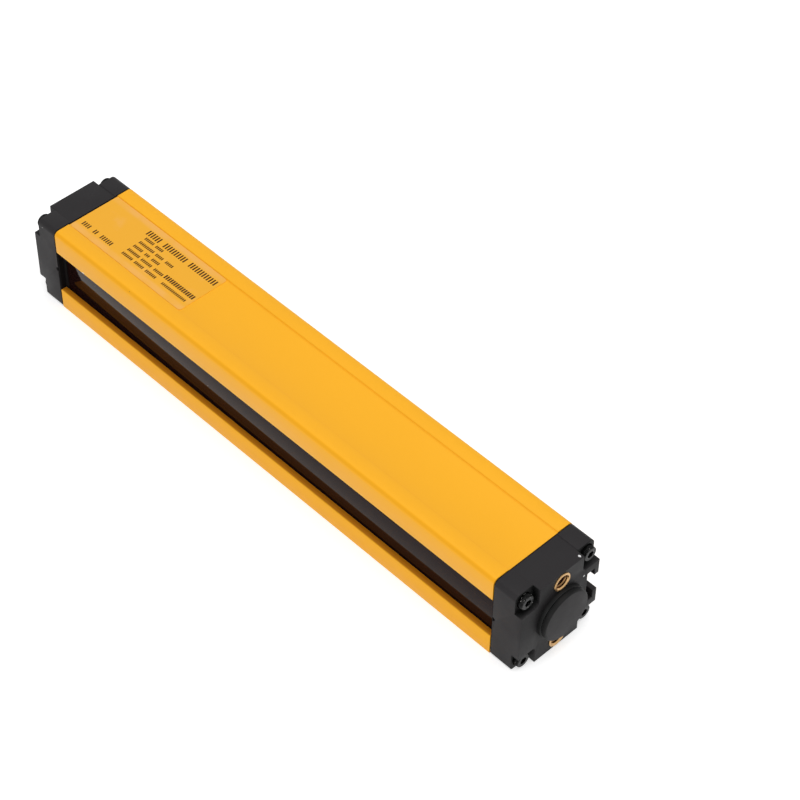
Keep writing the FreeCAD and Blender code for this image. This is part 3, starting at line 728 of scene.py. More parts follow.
@dataclass(frozen=True)
class Surface:
    """A material under work: its wiring, its Principled shader, the place on the piece and the effects."""

    wiring: Wiring
    shader: bpy.types.Node
    place: bpy.types.NodeSocket
    effects: Effects

    @classmethod
    def of_material(cls, material: bpy.types.Material, effects: Effects) -> "Surface":
        """Give a new material its shader and its coordinates.

        Args:
            material: The material.
            effects: The shared effects.

        Returns:
            The surface to work on.
        """
        material.use_nodes = True
        material.node_tree.nodes.clear()
        wiring = Wiring(material.node_tree)
        shader = wiring.node("ShaderNodeBsdfPrincipled")
        output = wiring.node("ShaderNodeOutputMaterial")
        wiring.feed(output.inputs["Surface"], shader.outputs[0])
        return cls(wiring, shader, wiring.node("ShaderNodeTexCoord").outputs["Object"], effects)

    def grain(self, scale: float, contrast: float) -> bpy.types.Node:
        """Place even grain, whose outputs are Height and Tone."""
        return self.wiring.effect(self.effects.grain, Vector=self.place, Scale=scale, Contrast=contrast)

    def specks(self, scale: float, reach: float, share: float) -> bpy.types.NodeSocket:
        """Give the mask of sparse specks."""
        tree = self.effects.specks
        node = self.wiring.effect(tree, Vector=self.place, Scale=scale, Reach=reach, Share=share)
        return node.outputs["Mask"]

    def spot(self, place: Point, reach: Point) -> bpy.types.NodeSocket:
        """Give the mask of one ragged spot."""
        node = self.wiring.effect(self.effects.spot, Vector=self.place, Place=place, Reach=reach)
        return node.outputs["Mask"]

    def line(self, place: Point, inner: float, outer: float) -> bpy.types.NodeSocket:
        """Give the mask of one soft line along X."""
        tree = self.effects.line
        node = self.wiring.effect(tree, Vector=self.place, Place=place, Inner=inner, Outer=outer)
        return node.outputs["Mask"]

    def folded(self, centre: Point) -> bpy.types.NodeSocket:
        """Give the distances from a centre along the three axes, alike on both of its sides."""
        away = self.wiring.vector("SUBTRACT", self.place, centre).outputs["Vector"]
        return self.wiring.vector("ABSOLUTE", away).outputs["Vector"]

    def split(self, vector: bpy.types.NodeSocket) -> bpy.types.NodeOutputs:
        """Split a vector into its outputs X, Y and Z."""
        node = self.wiring.node("ShaderNodeSeparateXYZ")
        self.wiring.feed(node.inputs[0], vector)
        return node.outputs

    def paint(self, colour: bpy.types.NodeSocket) -> None:
        """Feed the base colour."""
        self.wiring.feed(self.shader.inputs["Base Color"], colour)

    def tint(self, colour: object, tone: bpy.types.NodeSocket) -> None:
        """Feed the base colour with a colour times a tone.

        Args:
            colour: Colour or colour socket.
            tone: Factor near 1.
        """
        scaled = self.wiring.vector("SCALE", colour)
        self.wiring.feed(scaled.inputs["Scale"], tone)
        self.paint(scaled.outputs["Vector"])

    def emboss(self, height: bpy.types.NodeSocket, strength: float, depth: float) -> None:
        """Feed the shader's normal with a bump.

        Args:
            height: Height from 0 to 1.
            strength: Share of the bump that shows.
            depth: Height of the full bump in metres.
        """
        bump = self.wiring.node("ShaderNodeBump")
        bump.inputs["Strength"].default_value = strength
        bump.inputs["Distance"].default_value = depth
        self.wiring.feed(bump.inputs["Height"], height)
        self.wiring.feed(self.shader.inputs["Normal"], bump.outputs["Normal"])


@dataclass(frozen=True)
class Finish:
    """A surface finish; each kind adds its own detail to the plain shader."""

    name: str
    colour: Colour
    roughness: float = 0.5
    metallic: float = 0.0
    specular: float = 0.5

    def build(self, effects: Effects) -> bpy.types.Material:
        """Make the material.

        Args:
            effects: The shared effects.

        Returns:
            The finished material.
        """
        material = bpy.data.materials.new(self.name)
        surface = Surface.of_material(material, effects)
        sockets = surface.shader.inputs
        sockets["Base Color"].default_value = (*self.colour, 1.0)
        sockets["Roughness"].default_value = self.roughness
        sockets["Metallic"].default_value = self.metallic
        sockets["Specular IOR Level"].default_value = self.specular
        self.detail(surface)
        return material

    def detail(self, surface: Surface) -> None:
        """Add the finish's own detail; the plain one has an even grain."""
        grain = surface.grain(scale=1500.0, contrast=0.15)
        surface.tint(self.colour, grain.outputs["Tone"])
        surface.emboss(grain.outputs["Height"], strength=0.15, depth=0.00003)

    def vary_roughness(
        self, surface: Surface, height: bpy.types.NodeSocket, less: float, more: float
    ) -> None:
        """Let the roughness swing about its value.

        Args:
            surface: The material under work.
            height: Noise from 0 to 1 that it follows.
            less: How far it may fall.
            more: How far it may rise.
        """
        swing = surface.wiring.spread(height, 0.3, 0.7, self.roughness - less, self.roughness + more)
        surface.wiring.feed(surface.shader.inputs["Roughness"], swing)


@dataclass(frozen=True)
class PowderCoat(Finish):
    """Satin powder coat with a faint orange peel, painted shade along three lines, chipped at one lip."""

    # places and colours of the three lines of painted shade
    corner_place: Point = ORIGIN
    crease_place: Point = ORIGIN
    ledge_place: Point = ORIGIN
    chip_place: Point = ORIGIN
    deep_colour: Colour = (0.86, 0.375, 0.006)
    ledge_colour: Colour = (0.6, 0.21, 0.008)
    crease_share: float = 0.8
    chip_reach: Point = (0.0009, 0.0012, 0.0005)
    chip_colour: Colour = (0.82, 0.78, 0.72)
    dirt_colour: Colour = (0.25, 0.1, 0.02)

    def detail(self, surface: Surface) -> None:
        """Add clouding, orange peel, painted shade along the three lines, dirt and the chip."""
        wiring = surface.wiring
        cloud = surface.grain(scale=28.0, contrast=0.04)
        peel = surface.grain(scale=1400.0, contrast=0.03)
        tone = wiring.maths("MULTIPLY", cloud.outputs["Tone"], peel.outputs["Tone"])
        # painted shade along the rounded top corner on the window side, in the step of the label recess and
        # on the lower lip's ledge under the upper lip
        corner = surface.line(self.corner_place, inner=0.0002, outer=0.0011)
        crease = surface.line(self.crease_place, inner=0.0001, outer=0.0008)
        ledge = surface.line(self.ledge_place, inner=0.0007, outer=0.0013)
        corner_and_crease_shade = wiring.maths("MAXIMUM", corner, wiring.maths("MULTIPLY", crease, self.crease_share))
        colour = wiring.blend(corner_and_crease_shade, self.colour, self.deep_colour)
        colour = wiring.blend(ledge, colour, self.ledge_colour)
        dirt = surface.specks(scale=160.0, reach=0.035, share=0.03)
        colour = wiring.blend(dirt, colour, self.dirt_colour)
        colour = wiring.blend(surface.spot(self.chip_place, self.chip_reach), colour, self.chip_colour)
        surface.tint(colour, tone)
        self.vary_roughness(surface, cloud.outputs["Height"], less=0.04, more=0.04)
        surface.emboss(peel.outputs["Height"], strength=0.12, depth=0.00004)


@dataclass(frozen=True)
class MouldedPlastic(Finish):
    """Moulded plastic with a fine spark texture and a few light specks."""

    texture_scale: float = 2600.0
    speck_colour: Colour = (0.2, 0.2, 0.2)

    def detail(self, surface: Surface) -> None:
        """Add the spark texture, its sheen and the specks."""
        wiring = surface.wiring
        texture = surface.grain(scale=self.texture_scale, contrast=0.35)
        cloud = surface.grain(scale=90.0, contrast=0.12)
        tone = wiring.maths("MULTIPLY", texture.outputs["Tone"], cloud.outputs["Tone"])
        specks = surface.specks(scale=380.0, reach=0.06, share=0.02)
        colour = wiring.blend(specks, self.colour, self.speck_colour)
        surface.tint(self.marked(surface, colour), tone)
        self.vary_roughness(surface, cloud.outputs["Height"], less=0.05, more=0.05)
        surface.emboss(texture.outputs["Height"], strength=0.45, depth=0.00005)

    def marked(self, surface: Surface, colour: bpy.types.NodeSocket) -> bpy.types.NodeSocket:
        """Give the colour with its local marks, of which the plain kind has none."""
        return colour


@dataclass(frozen=True)
class CapPlastic(MouldedPlastic):
    """Plastic of the end caps, with painted shade in the screw pockets and round the collar, chips in places
    and one painted glint.
    """

    axis: Point = ORIGIN
    face: float = 0.0
    pocket_depth: float = 0.0031
    pocket_fade: float = 0.0012
    pocket_across: float = 0.01
    pocket_level: float = 0.0104
    soft: float = 0.0002
    rim_inner: float = 0.0092
    rim_outer: float = 0.0096
    # colour of the painted shade in the pockets and round the collar
    shade: Colour = (0.003, 0.003, 0.003)
    # places of the chips; the last one is a painted glint
    chip_places: tuple[Point, ...] = ()
    chip_reach: Point = (0.0006, 0.00045, 0.00045)
    chip_colour: Colour = (0.75, 0.75, 0.75)

    def marked(self, surface: Surface, colour: bpy.types.NodeSocket) -> bpy.types.NodeSocket:
        """Paint shade into the pockets and onto the collar's side, and add the chips and the painted glint.

        Args:
            surface: The material under work.
            colour: The plastic's own colour.

        Returns:
            The marked colour.
        """
        wiring = surface.wiring
        folded = surface.folded(self.axis)
        away = surface.split(folded)
        # painted shade in the screw pockets and on the collar's side
        shade = wiring.maths("MAXIMUM", self.pocket(wiring, away), self.rim(surface, folded, away["X"]))
        colour = wiring.blend(shade, colour, self.shade)
        # chips, and a painted glint on the connector cap's window side below its top edge
        for place in self.chip_places:
            colour = wiring.blend(surface.spot(place, self.chip_reach), colour, self.chip_colour)
        return colour

    def pocket(self, wiring: Wiring, away: bpy.types.NodeOutputs) -> bpy.types.NodeSocket:
        """Give the mask of the painted shade in the screw pockets.

        Args:
            wiring: Wiring of the material's tree.
            away: Distances X, Y and Z from the bar's middle.

        Returns:
            The mask.
        """
        floor = self.face - self.pocket_depth
        beside = wiring.spread(away["Y"], self.pocket_across - self.soft, self.pocket_across)
        above = wiring.spread(away["Z"], self.pocket_level - self.soft, self.pocket_level)
        behind = wiring.spread(away["X"], floor - self.soft, floor)
        sunk = wiring.spread(away["X"], self.face, self.face - self.pocket_fade)
        corner = wiring.maths("MULTIPLY", beside, above)
        return wiring.maths("MULTIPLY", corner, wiring.maths("MULTIPLY", behind, sunk))

    def rim(
        self, surface: Surface, folded: bpy.types.NodeSocket, along: bpy.types.NodeSocket
    ) -> bpy.types.NodeSocket:
        """Give the mask of painted shade on what stands proud of the end face, outside a disc about the axis.

        Args:
            surface: The material under work.
            folded: Distances from the bar's middle as a vector.
            along: The distance along X.

        Returns:
            The mask.
        """
        wiring = surface.wiring
        tree = surface.effects.line
        disc = wiring.effect(tree, Vector=folded, Inner=self.rim_inner, Outer=self.rim_outer)
        proud = wiring.spread(along, self.face - self.soft / 2, self.face + self.soft / 2)
        return wiring.maths("MULTIPLY", proud, wiring.maths("SUBTRACT", 1.0, disc.outputs["Mask"]))


@dataclass(frozen=True)
class DarkAcrylic(Finish):
    """Polished dark acrylic with a few specks of dust."""

    dust_colour: Colour = (0.35, 0.3, 0.26)

    def detail(self, surface: Surface) -> None:
        """Add dust and a trace of smearing in the gloss."""
        dust = surface.specks(scale=260.0, reach=0.05, share=0.03)
        surface.paint(surface.wiring.blend(dust, self.colour, self.dust_colour))
        smear = surface.grain(scale=45.0, contrast=0.1)
        self.vary_roughness(surface, smear.outputs["Height"], less=0.0, more=0.04)


@dataclass(frozen=True)
class TurnedMetal(Finish):
    """Metal turned about axes along X, with fine rings and a cloudy polish, and painted shade within its
    bores.
    """

    centre: Point = ORIGIN
    offset: Point = ORIGIN
    spacing: float = 0.00025
    bore_start: float = 0.0
    bore_depth: float = 0.0016
    # colour of the painted shade deep in a bore
    bore_colour: Colour = (0.07, 0.018, 0.005)
    cloud_contrast: float = 0.1

    def detail(self, surface: Surface) -> None:
        """Add the rings, the polish and the painted shade in the bores."""
        wiring = surface.wiring
        folded = surface.folded(self.centre)
        rings = wiring.effect(surface.effects.rings, Vector=folded, Place=self.offset, Spacing=self.spacing)
        cloud = surface.grain(scale=420.0, contrast=self.cloud_contrast)
        # painted shade deeper in the bore, from its mouth inwards
        bore = wiring.spread(surface.split(folded)["X"], self.bore_start, self.bore_start - self.bore_depth)
        surface.tint(wiring.blend(bore, self.colour, self.bore_colour), cloud.outputs["Tone"])
        self.vary_roughness(surface, cloud.outputs["Height"], less=0.04, more=0.06)
        surface.emboss(rings.outputs["Height"], strength=0.12, depth=0.00001)


@dataclass(frozen=True)
class BlackOxide(Finish):
    """Oiled black oxide on steel, with a mottled gloss and small painted glints."""

    worn_colour: Colour = (0.3, 0.29, 0.28)

    def detail(self, surface: Surface) -> None:
        """Add the mottling and small painted glints."""
        height = surface.grain(scale=1600.0, contrast=0.4).outputs["Height"]
        # painted glints on the highest spots of the mottling
        painted_glint = surface.wiring.spread(height, 0.66, 0.7)
        surface.paint(surface.wiring.blend(painted_glint, self.colour, self.worn_colour))
        self.vary_roughness(surface, height, less=0.06, more=0.1)
        surface.emboss(height, strength=0.2, depth=0.00002)


@dataclass(frozen=True)
class LabelFilm(Finish):
    """Thin clear film over the coat, milky along its borders where the glue has lifted."""

    middle: Point = ORIGIN
    half_width: float = 0.011
    border: float = 0.0032
    milky: Colour = (0.9, 0.45, 0.085)

    def detail(self, surface: Surface) -> None:
        """Add the milky borders and patches."""
        wiring = surface.wiring
        across = surface.split(surface.folded(self.middle))["Y"]
        start = self.half_width - self.border
        border = wiring.spread(across, start, start + self.border / 2)
        patch = surface.grain(scale=130.0, contrast=0.5).outputs["Height"]
        lifted = wiring.spread(patch, 0.35, 0.6, 0.45, 1.0)
        stray = wiring.spread(patch, 0.55, 0.75, 0.0, 0.5)
        mask = wiring.maths("MAXIMUM", wiring.maths("MULTIPLY", border, lifted), stray)
        fine = surface.grain(scale=1500.0, contrast=0.03)
        surface.tint(wiring.blend(mask, self.colour, self.milky), fine.outputs["Tone"])
        surface.emboss(fine.outputs["Height"], strength=0.08, depth=0.00003)


@dataclass(frozen=True)
class CircuitBoard(Finish):
    """Green solder mask with paler copper tracks under it."""

    track_colour: Colour = (0.03, 0.3, 0.12)

    def detail(self, surface: Surface) -> None:
        """Add the tracks and the mask's slight unevenness."""
        wiring = surface.wiring
        tracks = wiring.node("ShaderNodeTexBrick")
        turned = wiring.node("ShaderNodeMapping")
        turned.inputs["Rotation"].default_value = (math.pi / 2, 0.0, 0.0)
        wiring.feed(turned.inputs["Vector"], surface.place)
        wiring.feed(tracks.inputs["Vector"], turned.outputs["Vector"])
        tracks.inputs["Scale"].default_value = 180.0
        tracks.inputs["Mortar Size"].default_value = 0.035
        uneven = surface.grain(scale=800.0, contrast=0.1)
        colour = wiring.blend(tracks.outputs["Fac"], self.colour, self.track_colour)
        surface.tint(colour, uneven.outputs["Tone"])
        surface.emboss(tracks.outputs["Fac"], strength=0.3, depth=0.00003)


@dataclass(frozen=True)
class ClearPlastic(Finish):
    """Clear or tinted plastic that light passes through."""

    refraction: float = 1.49

    def detail(self, surface: Surface) -> None:
        """Let light through, with a faint ripple on the surface."""
        surface.shader.inputs["Transmission Weight"].default_value = 0.95
        surface.shader.inputs["IOR"].default_value = self.refraction
        ripple = surface.grain(scale=400.0, contrast=0.05)
        surface.tint(self.colour, ripple.outputs["Tone"])
        surface.emboss(ripple.outputs["Height"], strength=0.05, depth=0.00003)


@dataclass(frozen=True)
class Palette:
    """Every finish of the bar, built as a material by its slot name."""

    materials: dict[str, bpy.types.Material]

    @classmethod
    def build(cls) -> "Palette":
        """Build the materials, with the places of their marks taken from the CAD nodes."""
        effects = Effects.build()
        bar, label, insert = (Box.of_node(node) for node in ("housing", "label_film", "insert_blank_upper"))
        axis = bar.point((0.5, 0.5, 0.5))
        finishes = (
            cls.coat(bar),
            DarkAcrylic("dark_window", (0.013, 0.0045, 0.004), 0.04, specular=0.075),
            cls.plastic(axis),
            Finish("black_rubber", (0.006, 0.005, 0.005), 0.8, specular=0.08),
            BlackOxide("black_screw", (0.003, 0.003, 0.003), 0.16, specular=0.14),
            TurnedMetal(
                "insert_brass", (0.58, 0.36, 0.16), 0.3, 1.0, centre=axis,
                offset=(0.0, 0.0, (insert.centre.z - bar.centre.z) * MM), spacing=0.0002,
                bore_start=(insert.high[0] - 0.2) * MM, cloud_contrast=0.25,
            ),
            TurnedMetal("plated_metal", (0.56, 0.54, 0.5), 0.26, 1.0, centre=axis, spacing=0.0003),
            Finish("black_insulator", (0.012, 0.012, 0.013), 0.4, specular=0.3),
            TurnedMetal("pin_metal", (0.85, 0.6, 0.26), 0.2, 1.0, centre=axis, spacing=0.0004),
            ClearPlastic("clear_lens", (0.9, 0.92, 0.95), 0.03),
            ClearPlastic("diode_plastic", (0.3, 0.2, 0.42), 0.06),
            CircuitBoard("board_green", (0.01, 0.14, 0.05), 0.35),
            MouldedPlastic("chip_black", (0.018, 0.018, 0.019), 0.5),
            Finish("header_white", (0.72, 0.7, 0.64), 0.45),
            LabelFilm(
                "label_film", (0.9, 0.43, 0.024), 0.36, specular=0.25,
                middle=label.point((0.5, 0.5, 0.5)), half_width=label.size.y * MM / 2,
            ),
            Finish("print_ink", (0.045, 0.012, 0.003), 0.5, specular=0.1),
        )
        return cls({finish.name: finish.build(effects) for finish in finishes})

    @staticmethod
    def coat(bar: Box) -> PowderCoat:
        """Give the housing's coat, with its painted shade lines and its chip set out from the housing's box.
        """
        return PowderCoat(
            "yellow_coat", (0.965, 0.452, 0.016), 0.42, specular=0.2,
            corner_place=bar.point((0.5, 0.0, 1.0), (0.0, 0.55, -0.55)),
            crease_place=bar.point((0.5, 0.5, 1.0), (0.0, Housing.recess_half, -Housing.recess_depth)),
            ledge_place=bar.point((0.5, 0.0, 0.5), (0.0, 1.3, Housing.opening_low)),
            chip_place=bar.point((0.0, 0.0, 0.5), (15.1, 0.2, 8.9)),
        )

    @staticmethod
    def plastic(axis: Point) -> CapPlastic:
        """Give the caps' plastic, with its chips and one painted glint set out from the caps' boxes."""
        blank, connector = (Box.of_node(f"{end.label}_end_cap") for end in End)
        collar = EndCap.collar_height
        chips_and_glint = (
            blank.point((1.0, 0.5, 1.0), (-collar - 1.2, 9.0, -0.15)),
            blank.point((1.0, 0.5, 0.5), (-collar, 10.85, 7.86)),
            # painted glint on the connector cap's window side, below its top edge
            connector.point((0.0, 0.0, 1.0), (7.0, 0.4, -2.3)),
        )
        return CapPlastic(
            "cap_plastic", (0.0148, 0.0132, 0.0142), 0.55, specular=0.18, axis=axis,
            face=(blank.high[0] - collar) * MM, chip_places=chips_and_glint,
        )

    def dress(self, piece: bpy.types.Object, slot: str) -> None:
        """Give a piece one of the finishes.

        Args:
            piece: The object.
            slot: Name of the finish.
        """
        piece.data.materials.clear()
        piece.data.materials.append(self.materials[slot])


def install(
    piece: bpy.types.Object, palette: Palette, slot: str, replaced: Sequence[str] = (), finish: str = ""
) -> None:
    """Dress a finished piece and hand it to the frame.

    Args:
        piece: The finished object.
        palette: The bar's finishes.
        slot: Material slot of the record.
        replaced: CAD nodes that it stands for.
        finish: Name of the finish, where it isn't the slot's.
    """
    palette.dress(piece, finish or slot)
    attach(piece, BODY)
    if replaced:
        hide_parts(*replaced)
    log.info("%s: %d faces, %s", piece.name, len(piece.data.polygons), slot)


# ------------------------------------------------------------------ sub-assemblies


@dataclass(frozen=True)
class Housing:
    """Extruded housing with its window slot, cavity, T-slot, board grooves and screw ports."""

    palette: Palette
    box: Box
    pane: Box
    board: Box
    top_corner: float = 2.0
    base_corner: float = 0.4
    edge: float = 0.25
    lip: float = 2.4
    opening_low: float = -9.65
    opening_high: float = 8.75
    slot_half: float = 10.8
    neck_depth: float = 2.8
    neck_half: float = 8.4
    cavity_back: float = 10.2
    cavity_half: float = 16.4
    groove_gap: float = 0.1
    groove_half: float = 17.1
    undercut_front: float = 12.6
    undercut_back: float = 16.1
    undercut_half: float = 6.2
    throat_half: float = 3.4
    recess_half: float = 11.2
    recess_depth: float = 0.3
    port_across: float = 14.3
    port_level: float = 14.7
    port_radius: float = 1.5

    def build(self) -> None:
        """Model the extrusion and hand it to the frame."""
        shape = Shape.block("bar_housing", self.box)
        middle = self.box.centre.z
        shape.bevel(
            lambda edge: runs_along(edge, Axis.X) and middle_of(edge).z > middle, self.top_corner, segments=8
        )
        shape.bevel(
            lambda edge: runs_along(edge, Axis.X) and middle_of(edge).z < NEAR, self.base_corner, segments=3
        )
        shape.carve(*self.channels(), *self.ports())
        shape.bevel(lambda edge: runs_along(edge, Axis.X) and sharp(edge), self.edge)
        install(shape.settle(), self.palette, "yellow_coat", ("housing",))

    def channels(self) -> list[Shape]:
        """Make the tools that cut the channels and the label recess, each as long as the bar."""
        front, back, half = self.box.low[1], self.box.high[1], self.box.size.z / 2
        slot_back = self.pane.high[1]
        neck_back = slot_back + self.neck_depth
        groove_front, groove_back = self.board.low[1] - self.groove_gap, self.board.high[1] + self.groove_gap
        spans = (
            (front - PAST, front + self.lip, self.opening_low, self.opening_high),
            (front + self.lip, slot_back, -self.slot_half, self.slot_half),
            (slot_back - LAP, neck_back, -self.neck_half, self.neck_half),
            (neck_back, self.cavity_back, -self.cavity_half, self.cavity_half),
            (groove_front, groove_back, -self.groove_half, self.groove_half),
            (self.undercut_front, self.undercut_back, -self.undercut_half, self.undercut_half),
            (self.undercut_back - LAP, back + PAST, -self.throat_half, self.throat_half),
            (-self.recess_half, self.recess_half, half - self.recess_depth, half + PAST),
        )
        start, end = self.box.low[0] - PAST, self.box.high[0] + PAST
        middle = self.box.centre.z
        return [
            Shape.block("channel", Box((start, near, middle + low), (end, far, middle + high)))
            for near, far, low, high in spans
        ]

    def ports(self) -> list[Shape]:
        """Make the tools that drill the four screw ports."""
        start, length = self.box.low[0] - PAST, self.box.size.x + 2 * PAST
        middle = self.box.centre.z
        return [
            Shape.rod(
                "port", self.port_radius, (start, side * self.port_across, middle + rise * self.port_level),
                length, sides=24,
            )
            for side, rise in CORNERS
        ]


@dataclass(frozen=True)
class FrontWindow:
    """Dark acrylic window that slides into the housing's front slot."""

    palette: Palette
    box: Box
    edge: float = 0.15

    def build(self) -> None:
        """Model the window with its polished edges."""
        shape = Shape.block("front_pane", self.box)
        shape.bevel(lambda edge: True, self.edge)
        install(shape.settle(), self.palette, "dark_window", ("front_window",))


@dataclass(frozen=True)
class PrintLine:
    """One printed line of plain upright dashes; each run is where dashes start and end along the film."""

    level: float
    height: float
    pitch: float
    runs: tuple[tuple[float, float], ...]
    fill: float = 0.6


@dataclass(frozen=True)
class Label:
    """Clear label film in the top recess, with plain dashes in place of its print."""

    palette: Palette
    box: Box
    corner: float = 1.0
    clip: float = 0.08
    ink: float = 0.02
    lines: tuple[PrintLine, ...] = (
        PrintLine(6.8, 2.6, 1.2, ((22.4, 29.4), (31.6, 43.6), (45.4, 60.0)), 0.5),
        PrintLine(4.0, 1.3, 0.8, ((24.2, 28.8), (30.0, 33.8)), 0.62),
        PrintLine(1.3, 1.3, 0.8, ((24.2, 32.0), (33.2, 37.4), (38.6, 42.6)), 0.62),
        PrintLine(-1.3, 1.3, 0.8, ((24.2, 29.0), (30.4, 33.0), (34.2, 38.0)), 0.62),
        PrintLine(-4.0, 1.3, 0.8, ((24.2, 30.4), (31.6, 37.4), (38.6, 43.2)), 0.62),
        PrintLine(-6.6, 1.3, 0.8, ((24.2, 30.0), (31.0, 36.0), (37.0, 43.0)), 0.62),
        PrintLine(-6.6, 1.2, 0.8, ((45.8, 58.4),), 0.6),
        PrintLine(-3.5, 2.0, 1.05, ((44.0, 59.8),), 0.62),
        PrintLine(-6.8, 2.0, 1.05, ((2.4, 7.0), (8.6, 11.2), (12.6, 19.4)), 0.52),
    )

    def build(self) -> None:
        """Model the film and its print."""
        film = Shape.block("name_film", self.box)
        film.bevel(lambda edge: runs_along(edge, Axis.Z), self.corner, segments=5)
        install(film.settle(), self.palette, "label_film", ("label_film",))
        runs = [self.dashes(line, run) for line in self.lines for run in line.runs]
        printing = runs[0].join(*runs[1:]).settle()
        printing.name = "name_print"
        install(printing, self.palette, "label_film", finish="print_ink")

    def dashes(self, line: PrintLine, run: tuple[float, float]) -> Shape:
        """Make one dash with clipped corners and repeat it along a run.

        Args:
            line: Line that it belongs to.
            run: Where the run starts and ends along the film.

        Returns:
            The run of dashes.
        """
        left = self.box.low[0] + run[0]
        width = line.pitch * line.fill
        floor = self.box.high[2] - self.ink
        low = (left, line.level - line.height / 2, floor)
        high = (left + width, line.level + line.height / 2, floor + 2 * self.ink)
        shape = Shape.block("print_dash", Box(low, high))
        shape.bevel(lambda edge: runs_along(edge, Axis.Z), self.clip, segments=1)
        count = 1 + int((run[1] - run[0] - width) / line.pitch)
        return shape.modify(
            "ARRAY", count=count, use_relative_offset=False, use_constant_offset=True,
            constant_offset_displace=(line.pitch, 0.0, 0.0),
        )


@dataclass(frozen=True)
class EndCap:
    """Moulded end cap, worked with its inner face at X 0 and its outside towards +X."""

    palette: Palette
    end: End
    start: float
    box: Box
    top_corner: float = 2.2
    base_corner: float = 1.2
    edge: float = 0.3
    flange: float = 9.1
    notch_across: float = 10.1
    notch_level: float = 10.5
    notch_radius: float = 1.8
    undercut_front: float = 12.6
    undercut_back: float = 16.1
    undercut_half: float = 7.3
    throat_half: float = 4.0
    band_half: float = 10.3
    band_depth: float = 0.15
    collar_radius: float = 10.3
    collar_height: float = 1.6
    collar_edge: float = 0.25
    bore_radius: float = 8.0
    counterbore_radius: float = 9.6
    counterbore_depth: float = 5.2
    screw_across: float = 14.3
    screw_level: float = 14.7
    screw_radius: float = 1.7
    seat_radius: float = 3.0
    seat_depth: float = 1.0
    pocket_offset: float = 14.1
    pocket_radius: float = 3.65
    pocket_depth: float = 9.0
    nick_radius: float = 1.0
    nick_depth: float = 0.8
    tab_front: float = -10.3
    tab_back: float = 10.0
    tab_near: float = 12.6
    tab_far: float = 16.2
    tab_length: float = 3.5

    @property
    def half_width(self) -> float:
        """Half the cap's width along Y."""
        return self.box.size.y / 2

    @property
    def half_height(self) -> float:
        """Half the cap's height."""
        return self.box.size.z / 2

    @property
    def block(self) -> float:
        """Depth of the block from its gasket to its end face, under the collar."""
        return abs(self.end.outer(self.box) - self.start) - self.collar_height

    def build(self) -> None:
        """Model the cap and place it against its gasket."""
        corner = (self.block, self.half_width, self.half_height)
        shape = Shape.block("cap", Box((0.0, -self.half_width, -self.half_height), corner))
        for rise, width, segments in ((1, self.top_corner, 8), (-1, self.base_corner, 5)):
            shape.bevel(self.long_edges(rise), width, segments)
        shape.carve(*self.notches(), *self.grooves())
        shape.bevel(self.is_outer_edge, self.edge, segments=3)
        start, height = self.block - PAST, self.collar_height + PAST
        collar = Shape.rod("collar", self.collar_radius, (start, 0.0, 0.0), height, sides=96)
        shape.unite(collar.bevel(rim_at(Axis.X, self.block + self.collar_height), self.collar_edge))
        shape.carve(*self.holes())
        shape.unite(*self.tabs())
        shape.piece.name = f"{self.end.label}_cap"
        piece = shape.settle((self.start, 0.0, self.box.centre.z), self.end.turn)
        install(piece, self.palette, "cap_plastic", (f"{self.end.label}_end_cap",))

    def long_edges(self, rise: int) -> Callable[[bmesh.types.BMEdge], bool]:
        """Make a test for the block's two long edges at its top or its base.

        Args:
            rise: 1 for the top of the finished cap, -1 for its base.

        Returns:
            A test that takes an edge.
        """
        worked_rise = rise * self.end.value
        level = self.half_height - NEAR
        return lambda edge: runs_along(edge, Axis.X) and worked_rise * middle_of(edge).z > level

    def is_outer_edge(self, edge: bmesh.types.BMEdge) -> bool:
        """Say whether an edge is an outside corner of the block that the mould rounds."""
        return sharp(edge) and edge.is_convex and middle_of(edge).x > NEAR

    def notches(self) -> list[Shape]:
        """Make the tools that open the four corners for the screw heads."""
        tools = []
        for side, rise in CORNERS:
            across, level = side * self.notch_across, rise * self.notch_level
            widths = sorted((across, side * (self.half_width + 2 * PAST)))
            levels = sorted((level, rise * (self.half_height + 2 * PAST)))
            low, high = zip((self.flange, self.block + PAST), widths, levels)
            tool = Shape.block("notch", Box(low, high))

            def is_inner(edge: bmesh.types.BMEdge, place: tuple[float, float] = (across, level)) -> bool:
                """Say whether the edge is the tool's inner corner."""
                middle = middle_of(edge)
                near = abs(middle.y - place[0]) < NEAR and abs(middle.z - place[1]) < NEAR
                return near and runs_along(edge, Axis.X)

            tools.append(tool.bevel(is_inner, self.notch_radius, segments=6))
        return tools

    def grooves(self) -> list[Shape]:
        """Make the tools for the T-slot, the shallow bands and the nick beside the housing."""
        front, back, half = self.undercut_front, self.undercut_back, self.undercut_half
        end, throat, band = self.block + PAST, self.throat_half, self.band_half
        tools = [
            Shape.block("undercut", Box((-PAST, front, -half), (end, back, half))),
            Shape.block("throat", Box((-PAST, back - LAP, -throat), (end, self.half_width + PAST, throat))),
        ]
        for rise in (-1, 1):
            floor, outside = self.half_height - self.band_depth, self.half_height + PAST
            low, high = sorted((rise * floor, rise * outside))
            tools.append(Shape.block("band", Box((-PAST, -band, low), (end, band, high))))
        start = (0.0, -self.half_width - PAST, 0.0)
        tools.append(Shape.rod("nick", self.nick_radius, start, self.nick_depth + PAST, Axis.Y, sides=32))
        return tools

